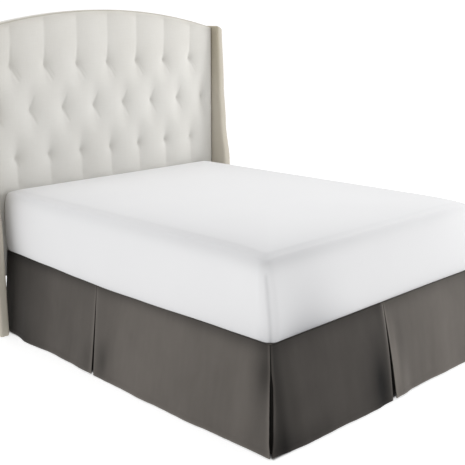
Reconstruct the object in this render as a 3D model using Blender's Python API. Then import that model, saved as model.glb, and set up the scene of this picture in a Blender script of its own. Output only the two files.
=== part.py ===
"""A tailored bed skirt with inverted pleats, hanging on the queen bed that carries it.

The skirt is a flat deck held under the mattress, a drop along each side and one across the
foot, and an insert behind each open foot corner. The bed is plain: a mattress in a white
fitted sheet, a box spring, a metal frame on legs and an upholstered headboard with wings.
Everything is modelled about the middle of the bed at floor level, with X to the bed's right
as seen from the foot, Y towards the head and Z up. One empty then moves it all along Y, so
that the origin lies under the middle of the whole object.
"""
import math
from collections import namedtuple

import bmesh
import bpy

# Driving sizes, in metres
BED_WIDTH = 1.524
BED_LENGTH = 2.032
DECK_HEIGHT = 0.457
CLOTH = 0.0012
SHEET_CLOTH = 0.0012
FIT_GAP = 0.0003

HALF_WIDTH = BED_WIDTH / 2
HALF_LENGTH = BED_LENGTH / 2

# Skirt: how its layers lie
LAYER_PITCH = 0.004
FOLD_STEPS = 3
PLEAT_DEPTH = 0.100
PLEAT_SETBACK_HEM = 0.032
CORNER_SETBACK_HEM = 0.034
CORNER_RETURN = 0.090
CORNER_OVERLAP = 0.012
INSERT_BEND = 0.008
HEM_HEIGHT = 0.022
HEM_CLOTH = 0.0022
SIDE_DROP_LENGTH = 2.020
PANEL_STEP = 0.085
TOP_HEIGHT = DECK_HEIGHT - CLOTH - FIT_GAP

# How the hem of each drop hangs: along is metres from the foot corner for a side and metres
# from the middle for the foot, out is how far the hem stands outside the deck's edge, and
# lift is how high it is above the floor.
HemRow = namedtuple("HemRow", "along out lift")
SIDE_HEM = (
    HemRow(0.00, 0.076, 0.007),
    HemRow(0.21, 0.081, 0.006),
    HemRow(0.46, 0.089, 0.005),
    HemRow(0.74, 0.091, 0.006),
    HemRow(1.04, 0.087, 0.005),
    HemRow(1.16, 0.089, 0.010),
    HemRow(1.33, 0.077, 0.007),
    HemRow(1.52, 0.073, 0.006),
    HemRow(1.72, 0.084, 0.006),
    HemRow(1.90, 0.062, 0.007),
    HemRow(2.02, 0.046, 0.008),
)
FOOT_HEM = (
    HemRow(-0.80, 0.078, 0.007),
    HemRow(-0.73, 0.088, 0.005),
    HemRow(-0.60, 0.099, 0.005),
    HemRow(-0.46, 0.098, 0.006),
    HemRow(-0.21, 0.106, 0.005),
    HemRow(-0.03, 0.107, 0.004),
    HemRow(0.04, 0.103, 0.009),
    HemRow(0.14, 0.093, 0.008),
    HemRow(0.30, 0.091, 0.006),
    HemRow(0.48, 0.094, 0.006),
    HemRow(0.64, 0.097, 0.005),
    HemRow(0.80, 0.078, 0.007),
)

# How a drop leaves the deck: 1 is a straight slope, more bends out sooner
SIDE_SPRING = 0.95
FOOT_SPRING = 1.23

# Each inverted pleat: where it is at the deck and at the hem, and how far each folded edge
# stands from its middle at the hem
Pleat = namedtuple("Pleat", "top hem gap_before gap_after")
SIDE_PLEAT = Pleat(1.172, 1.118, 0.010, 0.012)
FOOT_PLEAT = Pleat(0.001, -0.010, 0.017, 0.016)
PLEAT_CLOSED_GAP = 0.0032
PLEAT_CLOSED_SHARE = 0.06

# The corner opening: at a share of the drop, how far each drop's edge stops short of the corner
CornerRow = namedtuple("CornerRow", "share side foot")
CORNER_OPENING = (
    CornerRow(0.00, 0.0064, 0.0064),
    CornerRow(0.22, 0.0066, 0.0066),
    CornerRow(0.42, 0.0120, 0.0150),
    CornerRow(0.62, 0.0150, 0.0190),
    CornerRow(0.85, 0.0140, 0.0200),
    CornerRow(1.00, 0.0070, 0.0150),
)
HEM_SHARE = 1 - HEM_HEIGHT / TOP_HEIGHT
HEM_STEP_SHARE = 0.002
ROW_SHARES = (0, 0.10, 0.22, 0.42, 0.62, 0.82, HEM_SHARE - HEM_STEP_SHARE, HEM_SHARE, 1)

# Mattress, in its fitted sheet, and box spring
SHEET_BOTTOM = DECK_HEIGHT + FIT_GAP
MATTRESS_BOTTOM = SHEET_BOTTOM + SHEET_CLOTH + FIT_GAP
MATTRESS_TOP = 0.800
MATTRESS_CROWN = 0.014
CROWN_INSETS = (0.20, 0.42, 0.66)
CROWN_REACH = 0.74
MATTRESS_FOOT_RISE = 0.020
MATTRESS_BULGE = 0.010
MATTRESS_CORNER = 0.040
MATTRESS_TOP_ROUND = 0.068
MATTRESS_BOTTOM_ROUND = 0.014
SHEET_TUCK = 0.090
HEAD_PRESS = 0.0020
BOX_SPRING_INSET = 0.0125
BOX_SPRING_CORNER = 0.035
BOX_SPRING_BOTTOM = 0.2258
BOX_SPRING_ROUND = 0.006

# Metal frame
RAIL_WIDTH = 0.040
RAIL_HEIGHT = 0.035
RAIL_X = 0.700
RAIL_TOP = BOX_SPRING_BOTTOM - FIT_GAP
RAIL_BOTTOM = RAIL_TOP - RAIL_HEIGHT
RAIL_FOOT_END = -0.960
CROSS_BAR_Y = (-0.850, 0.0, 0.750)
LEG_RADIUS = 0.017
GLIDE_RADIUS = 0.026
GLIDE_HEIGHT = 0.012
LEG_SIDES = 20

# Headboard
HEADBOARD_HALF_WIDTH = 0.8440
HEADBOARD_DEPTH = 0.090
HEADBOARD_BOTTOM = 0.300
HEADBOARD_SIDE_TOP = 1.666
HEADBOARD_RISE = 0.108
ARCH_STEPS = 22
PADDING_ROUND = 0.016
WING_THICKNESS = 0.056
WING_ROUND = 0.013
WING_STEPS = 14
POST_WIDTH = 0.070
POST_DEPTH = 0.040
POST_SETBACK = 0.014

# The wing's front edge: at a height, how far it stands in front of the headboard's face
WingRow = namedtuple("WingRow", "height forward")
WING_EDGE = (
    WingRow(0.000, 0.128),
    WingRow(0.550, 0.130),
    WingRow(0.780, 0.119),
    WingRow(1.050, 0.081),
    WingRow(1.300, 0.062),
    WingRow(1.676, 0.044),
)

# The whole object reaches from the foot hem to the headboard's back
FOOT_REACH = HALF_LENGTH + max(row.out for row in FOOT_HEM) + CLOTH / 2
HEAD_REACH = HALF_LENGTH + FIT_GAP + HEADBOARD_DEPTH
BED_SHIFT_Y = (FOOT_REACH - HEAD_REACH) / 2

# Finish: colour, roughness and metallic value
Finish = namedtuple("Finish", "colour roughness metallic")
FINISHES = {
    "charcoal_microfibre": Finish((0.105, 0.095, 0.087), 0.85, 0.0),
    "white_cotton": Finish((0.82, 0.82, 0.83), 0.80, 0.0),
    "ivory_linen": Finish((0.67, 0.65, 0.61), 0.85, 0.0),
    "beige_linen": Finish((0.54, 0.50, 0.41), 0.85, 0.0),
    "ticking": Finish((0.70, 0.70, 0.68), 0.85, 0.0),
    "black_steel": Finish((0.02, 0.02, 0.02), 0.45, 1.0),
    "dark_wood": Finish((0.06, 0.035, 0.02), 0.50, 0.0),
}


def clear_scene():
    for old in list(bpy.data.objects):
        bpy.data.objects.remove(old, do_unlink=True)


def material(name):
    """The Principled material of one finish, made once."""
    made = bpy.data.materials.get(name)
    if made:
        return made
    finish = FINISHES[name]
    made = bpy.data.materials.new(name)
    made.use_nodes = True
    shader = made.node_tree.nodes["Principled BSDF"]
    shader.inputs["Base Color"].default_value = (*finish.colour, 1.0)
    shader.inputs["Roughness"].default_value = finish.roughness
    shader.inputs["Metallic"].default_value = finish.metallic
    return made


def blend(rows, place, key, value):
    """A smooth value between the rows of a short table, level at each row."""
    places = [getattr(row, key) for row in rows]
    if place <= places[0]:
        return getattr(rows[0], value)
    for low, high in zip(rows, rows[1:]):
        start, end = getattr(low, key), getattr(high, key)
        if place <= end:
            share = (place - start) / (end - start)
            share = share * share * (3 - 2 * share)
            return getattr(low, value) * (1 - share) + getattr(high, value) * share
    return getattr(rows[-1], value)


def mix(first, second, share):
    return first * (1 - share) + second * share


def spaced(start, end, pieces):
    """Evenly spaced values from start to end, both ends included."""
    return [mix(start, end, i / pieces) for i in range(pieces + 1)]


def spring_out(share, spring):
    """How much of the flare a drop has reached at a share of its height."""
    return spring * share + (1 - spring) * share * share


def half_turn(along, out_from, out_to, way):
    """Points round a folded edge from one layer to the next, bulging along the bed by way."""
    middle = (out_from + out_to) / 2
    radius = (out_from - out_to) / 2
    turn = [math.pi * i / FOLD_STEPS for i in range(FOLD_STEPS + 1)]
    return [(along + way * abs(radius) * math.sin(a), middle + radius * math.cos(a)) for a in turn]


def flat_run(front, start, end, deck_length):
    """The points of a flat panel between two folded edges, without its ends.

    Their number comes from the panel's length at the deck, so that every height has as many.
    """
    steps = round(deck_length / PANEL_STEP)
    return [(along, front(along)) for along in spaced(start, end, steps)[1:-1]]


def pleat_points(pleat, front, share):
    """An inverted pleat: each edge folds back behind its panel, joined by the underlay."""
    opening = max(0.0, share - PLEAT_CLOSED_SHARE) / (1 - PLEAT_CLOSED_SHARE)
    middle = mix(pleat.top, pleat.hem, share)
    before = middle - mix(PLEAT_CLOSED_GAP, pleat.gap_before, opening)
    after = middle + mix(PLEAT_CLOSED_GAP, pleat.gap_after, opening)
    setback = mix(2 * LAYER_PITCH, PLEAT_SETBACK_HEM, share)
    back_before = middle - PLEAT_DEPTH
    back_after = middle + PLEAT_DEPTH
    points = half_turn(before, front(before), front(before) - LAYER_PITCH, 1)
    deep_before, deep_after = front(back_before) - setback, front(back_after) - setback
    points += half_turn(back_before, deep_before + LAYER_PITCH, deep_before, -1)
    points += [(along, front(along) - setback) for along in spaced(back_before, back_after, 4)[1:-1]]
    points += half_turn(back_after, deep_after, deep_after + LAYER_PITCH, 1)
    points += half_turn(after, front(after) - LAYER_PITCH, front(after), -1)
    return before, after, points


def corner_setback(share):
    """How far the end of a corner return lies behind the front of its drop."""
    return mix(LAYER_PITCH, CORNER_SETBACK_HEM, share)


def corner_points(edge, root, front, share, way):
    """A corner fold and the return behind it, from the free end to the folded edge."""
    end = root - way * CORNER_RETURN
    inner = front(end) - corner_setback(share)
    middle = (end + edge) / 2
    half_way = (inner + front(middle) - LAYER_PITCH) / 2
    return [(end, inner), (middle, half_way)] + half_turn(edge, front(edge) - LAYER_PITCH, front(edge), way)


def hem_rows_flare(rows, spring, share):
    """The front of a drop at one height, as a function of the place along it."""
    reached = spring_out(share, spring)
    return lambda along: blend(rows, along, "along", "out") * reached


def side_section(share):
    """A side drop at one height, from the end of its corner return to the head of the bed."""
    front = hem_rows_flare(SIDE_HEM, SIDE_SPRING, share)
    foot_out = spring_out(share, FOOT_SPRING) * FOOT_HEM[0].out
    edge = blend(CORNER_OPENING, share, "share", "side") - foot_out
    before, after, pleat = pleat_points(SIDE_PLEAT, front, share)
    points = corner_points(edge, 0.0, front, share, -1)
    points += flat_run(front, edge, before, SIDE_PLEAT.top) + pleat
    points += flat_run(front, after, SIDE_DROP_LENGTH, SIDE_DROP_LENGTH - SIDE_PLEAT.top)
    return points + [(SIDE_DROP_LENGTH, front(SIDE_DROP_LENGTH))]


def foot_section(share):
    """The foot drop at one height, from its left corner return to its right one."""
    front = hem_rows_flare(FOOT_HEM, FOOT_SPRING, share)
    side_out = spring_out(share, SIDE_SPRING) * SIDE_HEM[0].out
    edge = HALF_WIDTH + side_out - blend(CORNER_OPENING, share, "share", "foot")
    before, after, pleat = pleat_points(FOOT_PLEAT, front, share)
    points = corner_points(-edge, -HALF_WIDTH, front, share, -1)
    points += flat_run(front, -edge, before, HALF_WIDTH) + pleat
    points += flat_run(front, after, edge, HALF_WIDTH)
    return points + corner_points(edge, HALF_WIDTH, front, share, 1)[::-1]


def insert_section(share):
    """The left corner insert at one height, as places across and along the bed."""
    side_front = hem_rows_flare(SIDE_HEM, SIDE_SPRING, share)
    foot_front = hem_rows_flare(FOOT_HEM, FOOT_SPRING, share)
    behind = corner_setback(share) + LAYER_PITCH
    reach = CORNER_RETURN + CORNER_OVERLAP
    side_x = -HALF_WIDTH - side_front(CORNER_RETURN) + behind
    foot_y = -HALF_LENGTH - foot_front(-HALF_WIDTH + CORNER_RETURN) + behind
    points = [(side_x, y) for y in spaced(-HALF_LENGTH + reach, foot_y + INSERT_BEND, 3)]
    points += [
        (side_x + INSERT_BEND * (1 - math.cos(a)), foot_y + INSERT_BEND * (1 - math.sin(a)))
        for a in (math.pi / 6, math.pi / 3)
    ]
    return points + [(x, foot_y) for x in spaced(side_x + INSERT_BEND, -HALF_WIDTH + reach, 3)]


def on_left(along, out):
    return -HALF_WIDTH - out, -HALF_LENGTH + along


def on_right(along, out):
    return HALF_WIDTH + out, -HALF_LENGTH + along


def on_foot(along, out):
    return along, -HALF_LENGTH - out


def add_object(name, points, faces, finish, bed, smooth=False):
    """One closed named object with its faces turned outwards."""
    mesh = bpy.data.meshes.new(name)
    build = bmesh.new()
    made = [build.verts.new(point) for point in points]
    for face in faces:
        build.faces.new([made[i] for i in face])
    bmesh.ops.recalc_face_normals(build, faces=build.faces)
    build.to_mesh(mesh)
    build.free()
    if smooth:
        mesh.shade_smooth()
        mesh.set_sharp_from_angle(angle=math.radians(40))
    mesh.materials.append(material(finish))
    piece = bpy.data.objects.new(name, mesh)
    bpy.context.scene.collection.objects.link(piece)
    piece.parent = bed
    return piece


def hang_cloth(name, section, lift_at, bed):
    """A hanging strip of cloth: its section in plan at each height, thickened, with its hem.

    section(share) gives places (x, y) along the strip, and lift_at(i) the height of the hem
    under place i. The outer face lies to the right of the line as it is walked. Both faces
    are offset from the line, and the turned hem makes the inner side thicker.
    """
    points, across = [], 0
    for row, share in enumerate(ROW_SHARES):
        line = section(share)
        across = len(line)
        inner = CLOTH / 2 if share < HEM_SHARE else HEM_CLOTH - CLOTH / 2
        for i, (x, y) in enumerate(line):
            ahead, behind = line[min(i + 1, across - 1)], line[max(i - 1, 0)]
            run = math.hypot(ahead[0] - behind[0], ahead[1] - behind[1])
            nx, ny = (ahead[1] - behind[1]) / run, (behind[0] - ahead[0]) / run
            z = mix(TOP_HEIGHT, lift_at(i), share)
            points.append((x + nx * CLOTH / 2, y + ny * CLOTH / 2, z))
            points.append((x - nx * inner, y - ny * inner, z))
    rows = len(ROW_SHARES)

    def corner(row, i, face):
        return 2 * (row * across + i) + face

    faces = []
    for row in range(rows - 1):
        for i in range(across - 1):
            for face in (0, 1):
                faces.append([corner(row, i, face), corner(row, i + 1, face),
                              corner(row + 1, i + 1, face), corner(row + 1, i, face)])
        for i in (0, across - 1):
            faces.append([corner(row, i, 0), corner(row, i, 1),
                          corner(row + 1, i, 1), corner(row + 1, i, 0)])
    for row in (0, rows - 1):
        for i in range(across - 1):
            faces.append([corner(row, i, 0), corner(row, i + 1, 0),
                          corner(row, i + 1, 1), corner(row, i, 1)])
    return add_object(name, points, faces, "charcoal_microfibre", bed, smooth=True)


def make_drop(name, section, rows, where, flip, bed):
    """A drop on one edge of the deck; flip turns the strip so that its outer face is out."""
    def plan(share):
        line = [where(along, out) for along, out in section(share)]
        return line[::-1] if flip else line

    hem_line = section(1.0)[::-1] if flip else section(1.0)
    return hang_cloth(name, plan, lambda i: blend(rows, hem_line[i][0], "along", "lift"), bed)


def make_insert(name, side, bed):
    """The piece behind one open foot corner, on the left for side -1 and the right for 1."""
    def plan(share):
        line = [(-side * x, y) for x, y in insert_section(share)]
        return line if side < 0 else line[::-1]

    return hang_cloth(name, plan, lambda i: SIDE_HEM[0].lift, bed)


def make_slab(name, low, high, finish, bed):
    """A plain six-sided piece between two corners."""
    points = [
        (x, y, z) for x in (low[0], high[0]) for y in (low[1], high[1]) for z in (low[2], high[2])
    ]
    faces = [(0, 1, 3, 2), (4, 6, 7, 5), (0, 4, 5, 1), (2, 3, 7, 6), (0, 2, 6, 4), (1, 5, 7, 3)]
    return add_object(name, points, faces, finish, bed)


def round_outline(half_x, half_y, radius, steps=6):
    """A rounded rectangle, anticlockwise, with one point at the middle of each side."""
    outline = []
    for quarter, (sx, sy) in enumerate(((1, 1), (-1, 1), (-1, -1), (1, -1))):
        for i in range(steps + 1):
            a = (quarter + i / steps) * math.pi / 2
            outline.append((sx * (half_x - radius) + radius * math.cos(a),
                            sy * (half_y - radius) + radius * math.sin(a)))
        outline.append(((0, half_y), (-half_x, 0), (0, -half_y), (half_x, 0))[quarter])
    return outline


def stacked_loops(name, levels, outline_at, place, finish, bed):
    """A body from level outlines with a cap at each end.

    levels are (inset, height), and place(x, y, height) puts an outline's point in space.
    """
    points, faces = [], []
    for inset, height in levels:
        points += [place(x, y, height) for x, y in outline_at(inset)]
    around = len(outline_at(0.0))
    for level in range(len(levels) - 1):
        for i in range(around):
            after = (i + 1) % around
            faces.append((level * around + i, level * around + after,
                          (level + 1) * around + after, (level + 1) * around + i))
    faces.append(tuple(range(around))[::-1])
    faces.append(tuple((len(levels) - 1) * around + i for i in range(around)))
    return add_object(name, points, faces, finish, bed, smooth=True)


def mattress_levels(swell):
    """The mattress's side from the bottom edge to the top edge, grown outwards by swell."""
    low, high = MATTRESS_BOTTOM - swell, MATTRESS_TOP + swell
    levels = []
    for i in range(4):
        a = math.pi / 2 * i / 3
        levels.append((MATTRESS_BOTTOM_ROUND * (1 - math.sin(a)),
                       low + MATTRESS_BOTTOM_ROUND * (1 - math.cos(a))))
    middle_low, middle_high = low + MATTRESS_BOTTOM_ROUND, high - MATTRESS_TOP_ROUND
    for share in (0.25, 0.5, 0.75):
        bulge = MATTRESS_BULGE * math.sin(math.pi * share)
        levels.append((-bulge, mix(middle_low, middle_high, share)))
    for i in range(5):
        a = math.pi / 2 * i / 4
        levels.append((MATTRESS_TOP_ROUND * (1 - math.cos(a)),
                       high - MATTRESS_TOP_ROUND * (1 - math.sin(a))))
    return [(inset - swell, height) for inset, height in levels]


def crown_levels(swell):
    """The crowned top, from the edge rounding towards the middle."""
    return [
        (inset, MATTRESS_TOP + swell + MATTRESS_CROWN * math.sin(math.pi / 2 * inset / CROWN_REACH))
        for inset in CROWN_INSETS
    ]


MATTRESS_HALF_WIDTH = HALF_WIDTH - 0.002
MATTRESS_HALF_LENGTH = HALF_LENGTH - HEAD_PRESS - MATTRESS_BULGE / 2
MATTRESS_CENTRE_Y = -MATTRESS_BULGE / 2 - HEAD_PRESS


def mattress_outline(inset):
    radius = max(MATTRESS_CORNER - inset, 0.02)
    return round_outline(MATTRESS_HALF_WIDTH - inset, MATTRESS_HALF_LENGTH - inset, radius)


def mattress_place(x, y, height):
    """A point of the mattress: it stands a little fuller towards the foot."""
    share = max(0.0, (height - MATTRESS_BOTTOM) / (MATTRESS_TOP - MATTRESS_BOTTOM))
    towards_foot = 0.5 - y / (2 * MATTRESS_HALF_LENGTH)
    return x, y + MATTRESS_CENTRE_Y, height + MATTRESS_FOOT_RISE * share * towards_foot


def make_mattress(bed):
    levels = mattress_levels(0.0) + crown_levels(0.0)
    stacked_loops("mattress", levels, mattress_outline, mattress_place, "ticking", bed)


def make_fitted_sheet(bed):
    """The sheet over the mattress, round its sides and tucked in under its edge.

    Its section is a thin closed band: out over the top, down and under, then back inside.
    The two top layers are closed by their own caps, so the sheet is one shell, open below.
    """
    inner_swell, outer_swell = FIT_GAP, FIT_GAP + SHEET_CLOTH
    inner, outer = (
        [(SHEET_TUCK, MATTRESS_BOTTOM - swell)] + mattress_levels(swell) + crown_levels(swell)
        for swell in (inner_swell, outer_swell)
    )
    levels = inner[::-1] + outer
    stacked_loops("fitted_sheet", levels, mattress_outline, mattress_place, "white_cotton", bed)


def make_box_spring(bed):
    half_x, half_y = HALF_WIDTH - BOX_SPRING_INSET, HALF_LENGTH - BOX_SPRING_INSET
    top = TOP_HEIGHT
    levels = (
        (BOX_SPRING_ROUND, BOX_SPRING_BOTTOM),
        (0.0, BOX_SPRING_BOTTOM + BOX_SPRING_ROUND),
        (0.0, top - BOX_SPRING_ROUND),
        (BOX_SPRING_ROUND, top),
    )

    def outline(inset):
        return round_outline(half_x - inset, half_y - inset, BOX_SPRING_CORNER - inset)

    stacked_loops("box_spring", levels, outline, lambda x, y, height: (x, y, height), "ticking", bed)


def make_leg(name, x, y, top, bed):
    """A round leg on a wider flat glide."""
    profile = (
        (GLIDE_RADIUS, 0.0),
        (GLIDE_RADIUS, GLIDE_HEIGHT),
        (LEG_RADIUS, GLIDE_HEIGHT + 0.004),
        (LEG_RADIUS, top),
    )
    turns = [2 * math.pi * i / LEG_SIDES for i in range(LEG_SIDES)]
    points = [
        (radius * math.cos(turn), radius * math.sin(turn), height)
        for radius, height in profile for turn in turns
    ]
    faces = [
        (level * LEG_SIDES + i, level * LEG_SIDES + (i + 1) % LEG_SIDES,
         (level + 1) * LEG_SIDES + (i + 1) % LEG_SIDES, (level + 1) * LEG_SIDES + i)
        for level in range(len(profile) - 1) for i in range(LEG_SIDES)
    ]
    faces.append(tuple(range(LEG_SIDES))[::-1])
    faces.append(tuple((len(profile) - 1) * LEG_SIDES + i for i in range(LEG_SIDES)))
    leg = add_object(name, points, faces, "black_steel", bed, smooth=True)
    leg.location = (x, y, 0.0)


def make_frame(bed):
    """Two side rails, three bars across and five legs, under the box spring."""
    rail_head_end = HALF_LENGTH + POST_SETBACK - FIT_GAP
    for side, name in ((-1, "left"), (1, "right")):
        inner, outer = side * RAIL_X - RAIL_WIDTH / 2, side * RAIL_X + RAIL_WIDTH / 2
        make_slab(f"side_rail_{name}", (inner, RAIL_FOOT_END, RAIL_BOTTOM),
                  (outer, rail_head_end, RAIL_TOP), "black_steel", bed)
    bar_half = RAIL_X - RAIL_WIDTH / 2 - FIT_GAP
    for number, y in enumerate(CROSS_BAR_Y, 1):
        make_slab(f"cross_bar_{number}", (-bar_half, y - RAIL_WIDTH / 2, RAIL_BOTTOM),
                  (bar_half, y + RAIL_WIDTH / 2, RAIL_TOP), "black_steel", bed)
    leg_top = RAIL_BOTTOM - FIT_GAP
    places = [(side * RAIL_X, y) for y in (CROSS_BAR_Y[0], CROSS_BAR_Y[-1]) for side in (-1, 1)]
    for number, (x, y) in enumerate(places + [(0.0, CROSS_BAR_Y[1])], 1):
        make_leg(f"leg_{number}", x, y, leg_top, bed)


def pad_edges(piece, width):
    """Soft rounded edges, as padding pulled over a frame gives."""
    bevel = piece.modifiers.new("padded_edges", "BEVEL")
    bevel.width = width
    bevel.segments = 3
    bevel.limit_method = "ANGLE"
    bevel.angle_limit = math.radians(40)


def make_headboard_panel(bed):
    """The arched panel: its outline in the XZ plane, carried back through its depth."""
    half = HEADBOARD_HALF_WIDTH
    radius = (half * half + HEADBOARD_RISE * HEADBOARD_RISE) / (2 * HEADBOARD_RISE)
    outline = [(-half, HEADBOARD_BOTTOM), (half, HEADBOARD_BOTTOM)]
    for x in spaced(half, -half, ARCH_STEPS):
        drop = radius - math.sqrt(radius * radius - x * x)
        outline.append((x, HEADBOARD_SIDE_TOP + HEADBOARD_RISE - drop))
    front, back = HALF_LENGTH + FIT_GAP, HALF_LENGTH + FIT_GAP + HEADBOARD_DEPTH
    panel = extrude_outline("headboard_panel", [(x, front, z) for x, z in outline],
                            [(x, back, z) for x, z in outline], "ivory_linen", bed)
    pad_edges(panel, PADDING_ROUND)


def extrude_outline(name, first, second, finish, bed):
    """A closed solid between two copies of one outline."""
    count = len(first)
    faces = [tuple(range(count)), tuple(range(count, 2 * count))[::-1]]
    faces += [(i, (i + 1) % count, count + (i + 1) % count, count + i) for i in range(count)]
    return add_object(name, first + second, faces, finish, bed)


def make_wing(name, side, bed):
    """A side wing: its profile in the YZ plane widens towards the floor."""
    back = HALF_LENGTH + FIT_GAP + HEADBOARD_DEPTH
    face = HALF_LENGTH + FIT_GAP
    top = WING_EDGE[-1].height
    profile = [(back, 0.0)]
    profile += [
        (face - blend(WING_EDGE, height, "height", "forward"), height)
        for height in spaced(0.0, top, WING_STEPS)
    ]
    profile.append((back, top))
    inner = side * (HEADBOARD_HALF_WIDTH + FIT_GAP)
    outer = inner + side * WING_THICKNESS
    wing = extrude_outline(name, [(inner, y, z) for y, z in profile],
                           [(outer, y, z) for y, z in profile], "beige_linen", bed)
    pad_edges(wing, WING_ROUND)


def make_headboard(bed):
    make_headboard_panel(bed)
    make_wing("wing_left", -1, bed)
    make_wing("wing_right", 1, bed)
    front = HALF_LENGTH + POST_SETBACK
    for side, name in ((-1, "left"), (1, "right")):
        x = side * RAIL_X
        make_slab(f"headboard_post_{name}", (x - POST_WIDTH / 2, front, 0.0),
                  (x + POST_WIDTH / 2, front + POST_DEPTH, HEADBOARD_BOTTOM - FIT_GAP), "dark_wood", bed)


def make_skirt(bed):
    edge = CLOTH / 2
    make_slab("skirt_deck", (-HALF_WIDTH - edge, -HALF_LENGTH - edge, DECK_HEIGHT - CLOTH),
              (HALF_WIDTH + edge, HALF_LENGTH - BOX_SPRING_INSET, DECK_HEIGHT), "charcoal_microfibre", bed)
    make_drop("skirt_drop_left", side_section, SIDE_HEM, on_left, True, bed)
    make_drop("skirt_drop_right", side_section, SIDE_HEM, on_right, False, bed)
    make_drop("skirt_drop_foot", foot_section, FOOT_HEM, on_foot, False, bed)
    make_insert("corner_insert_left", -1, bed)
    make_insert("corner_insert_right", 1, bed)


def main():
    clear_scene()
    bed = bpy.data.objects.new("bed_middle", None)
    bpy.context.scene.collection.objects.link(bed)
    bed.location = (0.0, BED_SHIFT_Y, 0.0)
    make_skirt(bed)
    make_mattress(bed)
    make_fitted_sheet(bed)
    make_box_spring(bed)
    make_frame(bed)
    make_headboard(bed)


main()
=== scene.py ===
"""A tailored charcoal bed skirt on a queen bed with a tufted wing headboard.

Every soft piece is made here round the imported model: the skirt's drops with their inverted
pleats, the corner inserts, the deck, the white fitted sheet, the mattress and box spring, and
the upholstered headboard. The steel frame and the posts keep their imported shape.
"""
import math

import bmesh
import bpy
from collections import namedtuple
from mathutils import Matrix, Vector, noise


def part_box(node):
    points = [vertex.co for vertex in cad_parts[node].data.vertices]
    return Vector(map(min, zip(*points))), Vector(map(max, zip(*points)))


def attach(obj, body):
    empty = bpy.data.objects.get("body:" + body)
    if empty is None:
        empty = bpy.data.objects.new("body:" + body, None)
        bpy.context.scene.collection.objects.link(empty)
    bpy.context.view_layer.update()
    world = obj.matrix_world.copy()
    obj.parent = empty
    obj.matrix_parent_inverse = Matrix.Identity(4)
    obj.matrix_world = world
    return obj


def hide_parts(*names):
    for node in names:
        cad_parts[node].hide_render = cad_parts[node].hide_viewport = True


bl_info = {
    "name": "Tailored bed skirt",
    "version": (1, 0, 0),
    "blender": (4, 5, 0),
    "location": "3D View > Sidebar > Bed skirt",
    "description": "Makes a pleated bed skirt and the bed that it hangs on",
    "category": "Add Mesh",
}

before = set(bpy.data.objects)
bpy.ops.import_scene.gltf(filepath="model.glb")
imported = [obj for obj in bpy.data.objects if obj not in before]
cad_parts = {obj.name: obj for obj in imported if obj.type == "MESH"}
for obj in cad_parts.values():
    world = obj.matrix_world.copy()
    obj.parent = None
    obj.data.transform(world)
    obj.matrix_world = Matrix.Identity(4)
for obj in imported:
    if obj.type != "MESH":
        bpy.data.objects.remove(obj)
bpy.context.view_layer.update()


def table(kind, rows):
    """Rows of plain numbers, each as a named tuple of one kind."""
    return tuple(kind(*row) for row in rows)


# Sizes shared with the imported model, in metres
HALF_WIDTH = 0.762
HALF_LENGTH = 1.016
DECK_HEIGHT = 0.457
CLOTH = 0.0012
FIT_GAP = 0.0003
LAYER_PITCH = 0.004
PLEAT_DEPTH = 0.100
PLEAT_SETBACK_HEM = 0.032
CORNER_SETBACK_HEM = 0.034
CORNER_RETURN = 0.090
CORNER_OVERLAP = 0.012
INSERT_BEND = 0.008
HEM_HEIGHT = 0.022
HEM_CLOTH = 0.0022
SIDE_DROP_LENGTH = 2.020
TOP_HEIGHT = DECK_HEIGHT - CLOTH - FIT_GAP
BED_SHIFT_Y = 0.00865

HemRow = namedtuple("HemRow", "along out lift")
SIDE_HEM = table(HemRow, (
    (0.00, 0.076, 0.007), (0.21, 0.081, 0.006), (0.46, 0.089, 0.005), (0.74, 0.091, 0.006),
    (1.04, 0.087, 0.005), (1.16, 0.089, 0.010), (1.33, 0.077, 0.007), (1.52, 0.073, 0.006),
    (1.72, 0.084, 0.006), (1.90, 0.062, 0.007), (2.02, 0.046, 0.008),
))
FOOT_HEM = table(HemRow, (
    (-0.80, 0.078, 0.007), (-0.73, 0.088, 0.005), (-0.60, 0.099, 0.005), (-0.46, 0.098, 0.006),
    (-0.21, 0.106, 0.005), (-0.03, 0.107, 0.004), (0.04, 0.103, 0.009), (0.14, 0.093, 0.008),
    (0.30, 0.091, 0.006), (0.48, 0.094, 0.006), (0.64, 0.097, 0.005), (0.80, 0.078, 0.007),
))
SIDE_SPRING = 0.95
FOOT_SPRING = 1.23
Pleat = namedtuple("Pleat", "top hem gap_before gap_after")
SIDE_PLEAT = Pleat(1.172, 1.118, 0.010, 0.012)
FOOT_PLEAT = Pleat(0.001, -0.010, 0.017, 0.016)
PLEAT_CLOSED_GAP = 0.0032
PLEAT_CLOSED_SHARE = 0.06
CornerRow = namedtuple("CornerRow", "share side foot")
CORNER_OPENING = table(CornerRow, (
    (0.00, 0.0064, 0.0064), (0.22, 0.0078, 0.0078), (0.42, 0.0130, 0.0165), (0.62, 0.0150, 0.0190),
    (0.85, 0.0140, 0.0200), (1.00, 0.0070, 0.0150),
))
HEM_SHARE = 1 - HEM_HEIGHT / TOP_HEIGHT

# How closely the cloth is drawn: metres between columns, points round a fold, rows in a drop
CLOTH_STEP = 0.012
FOLD_STEPS = 8
RETURN_STEPS = 8
DROP_ROWS = 46
HEM_ROWS = 4
# The share of a drop's height over which the cloth thickens into its turned hem
HEM_STEP = 0.002
DECK_GRID = (60, 80)

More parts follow.
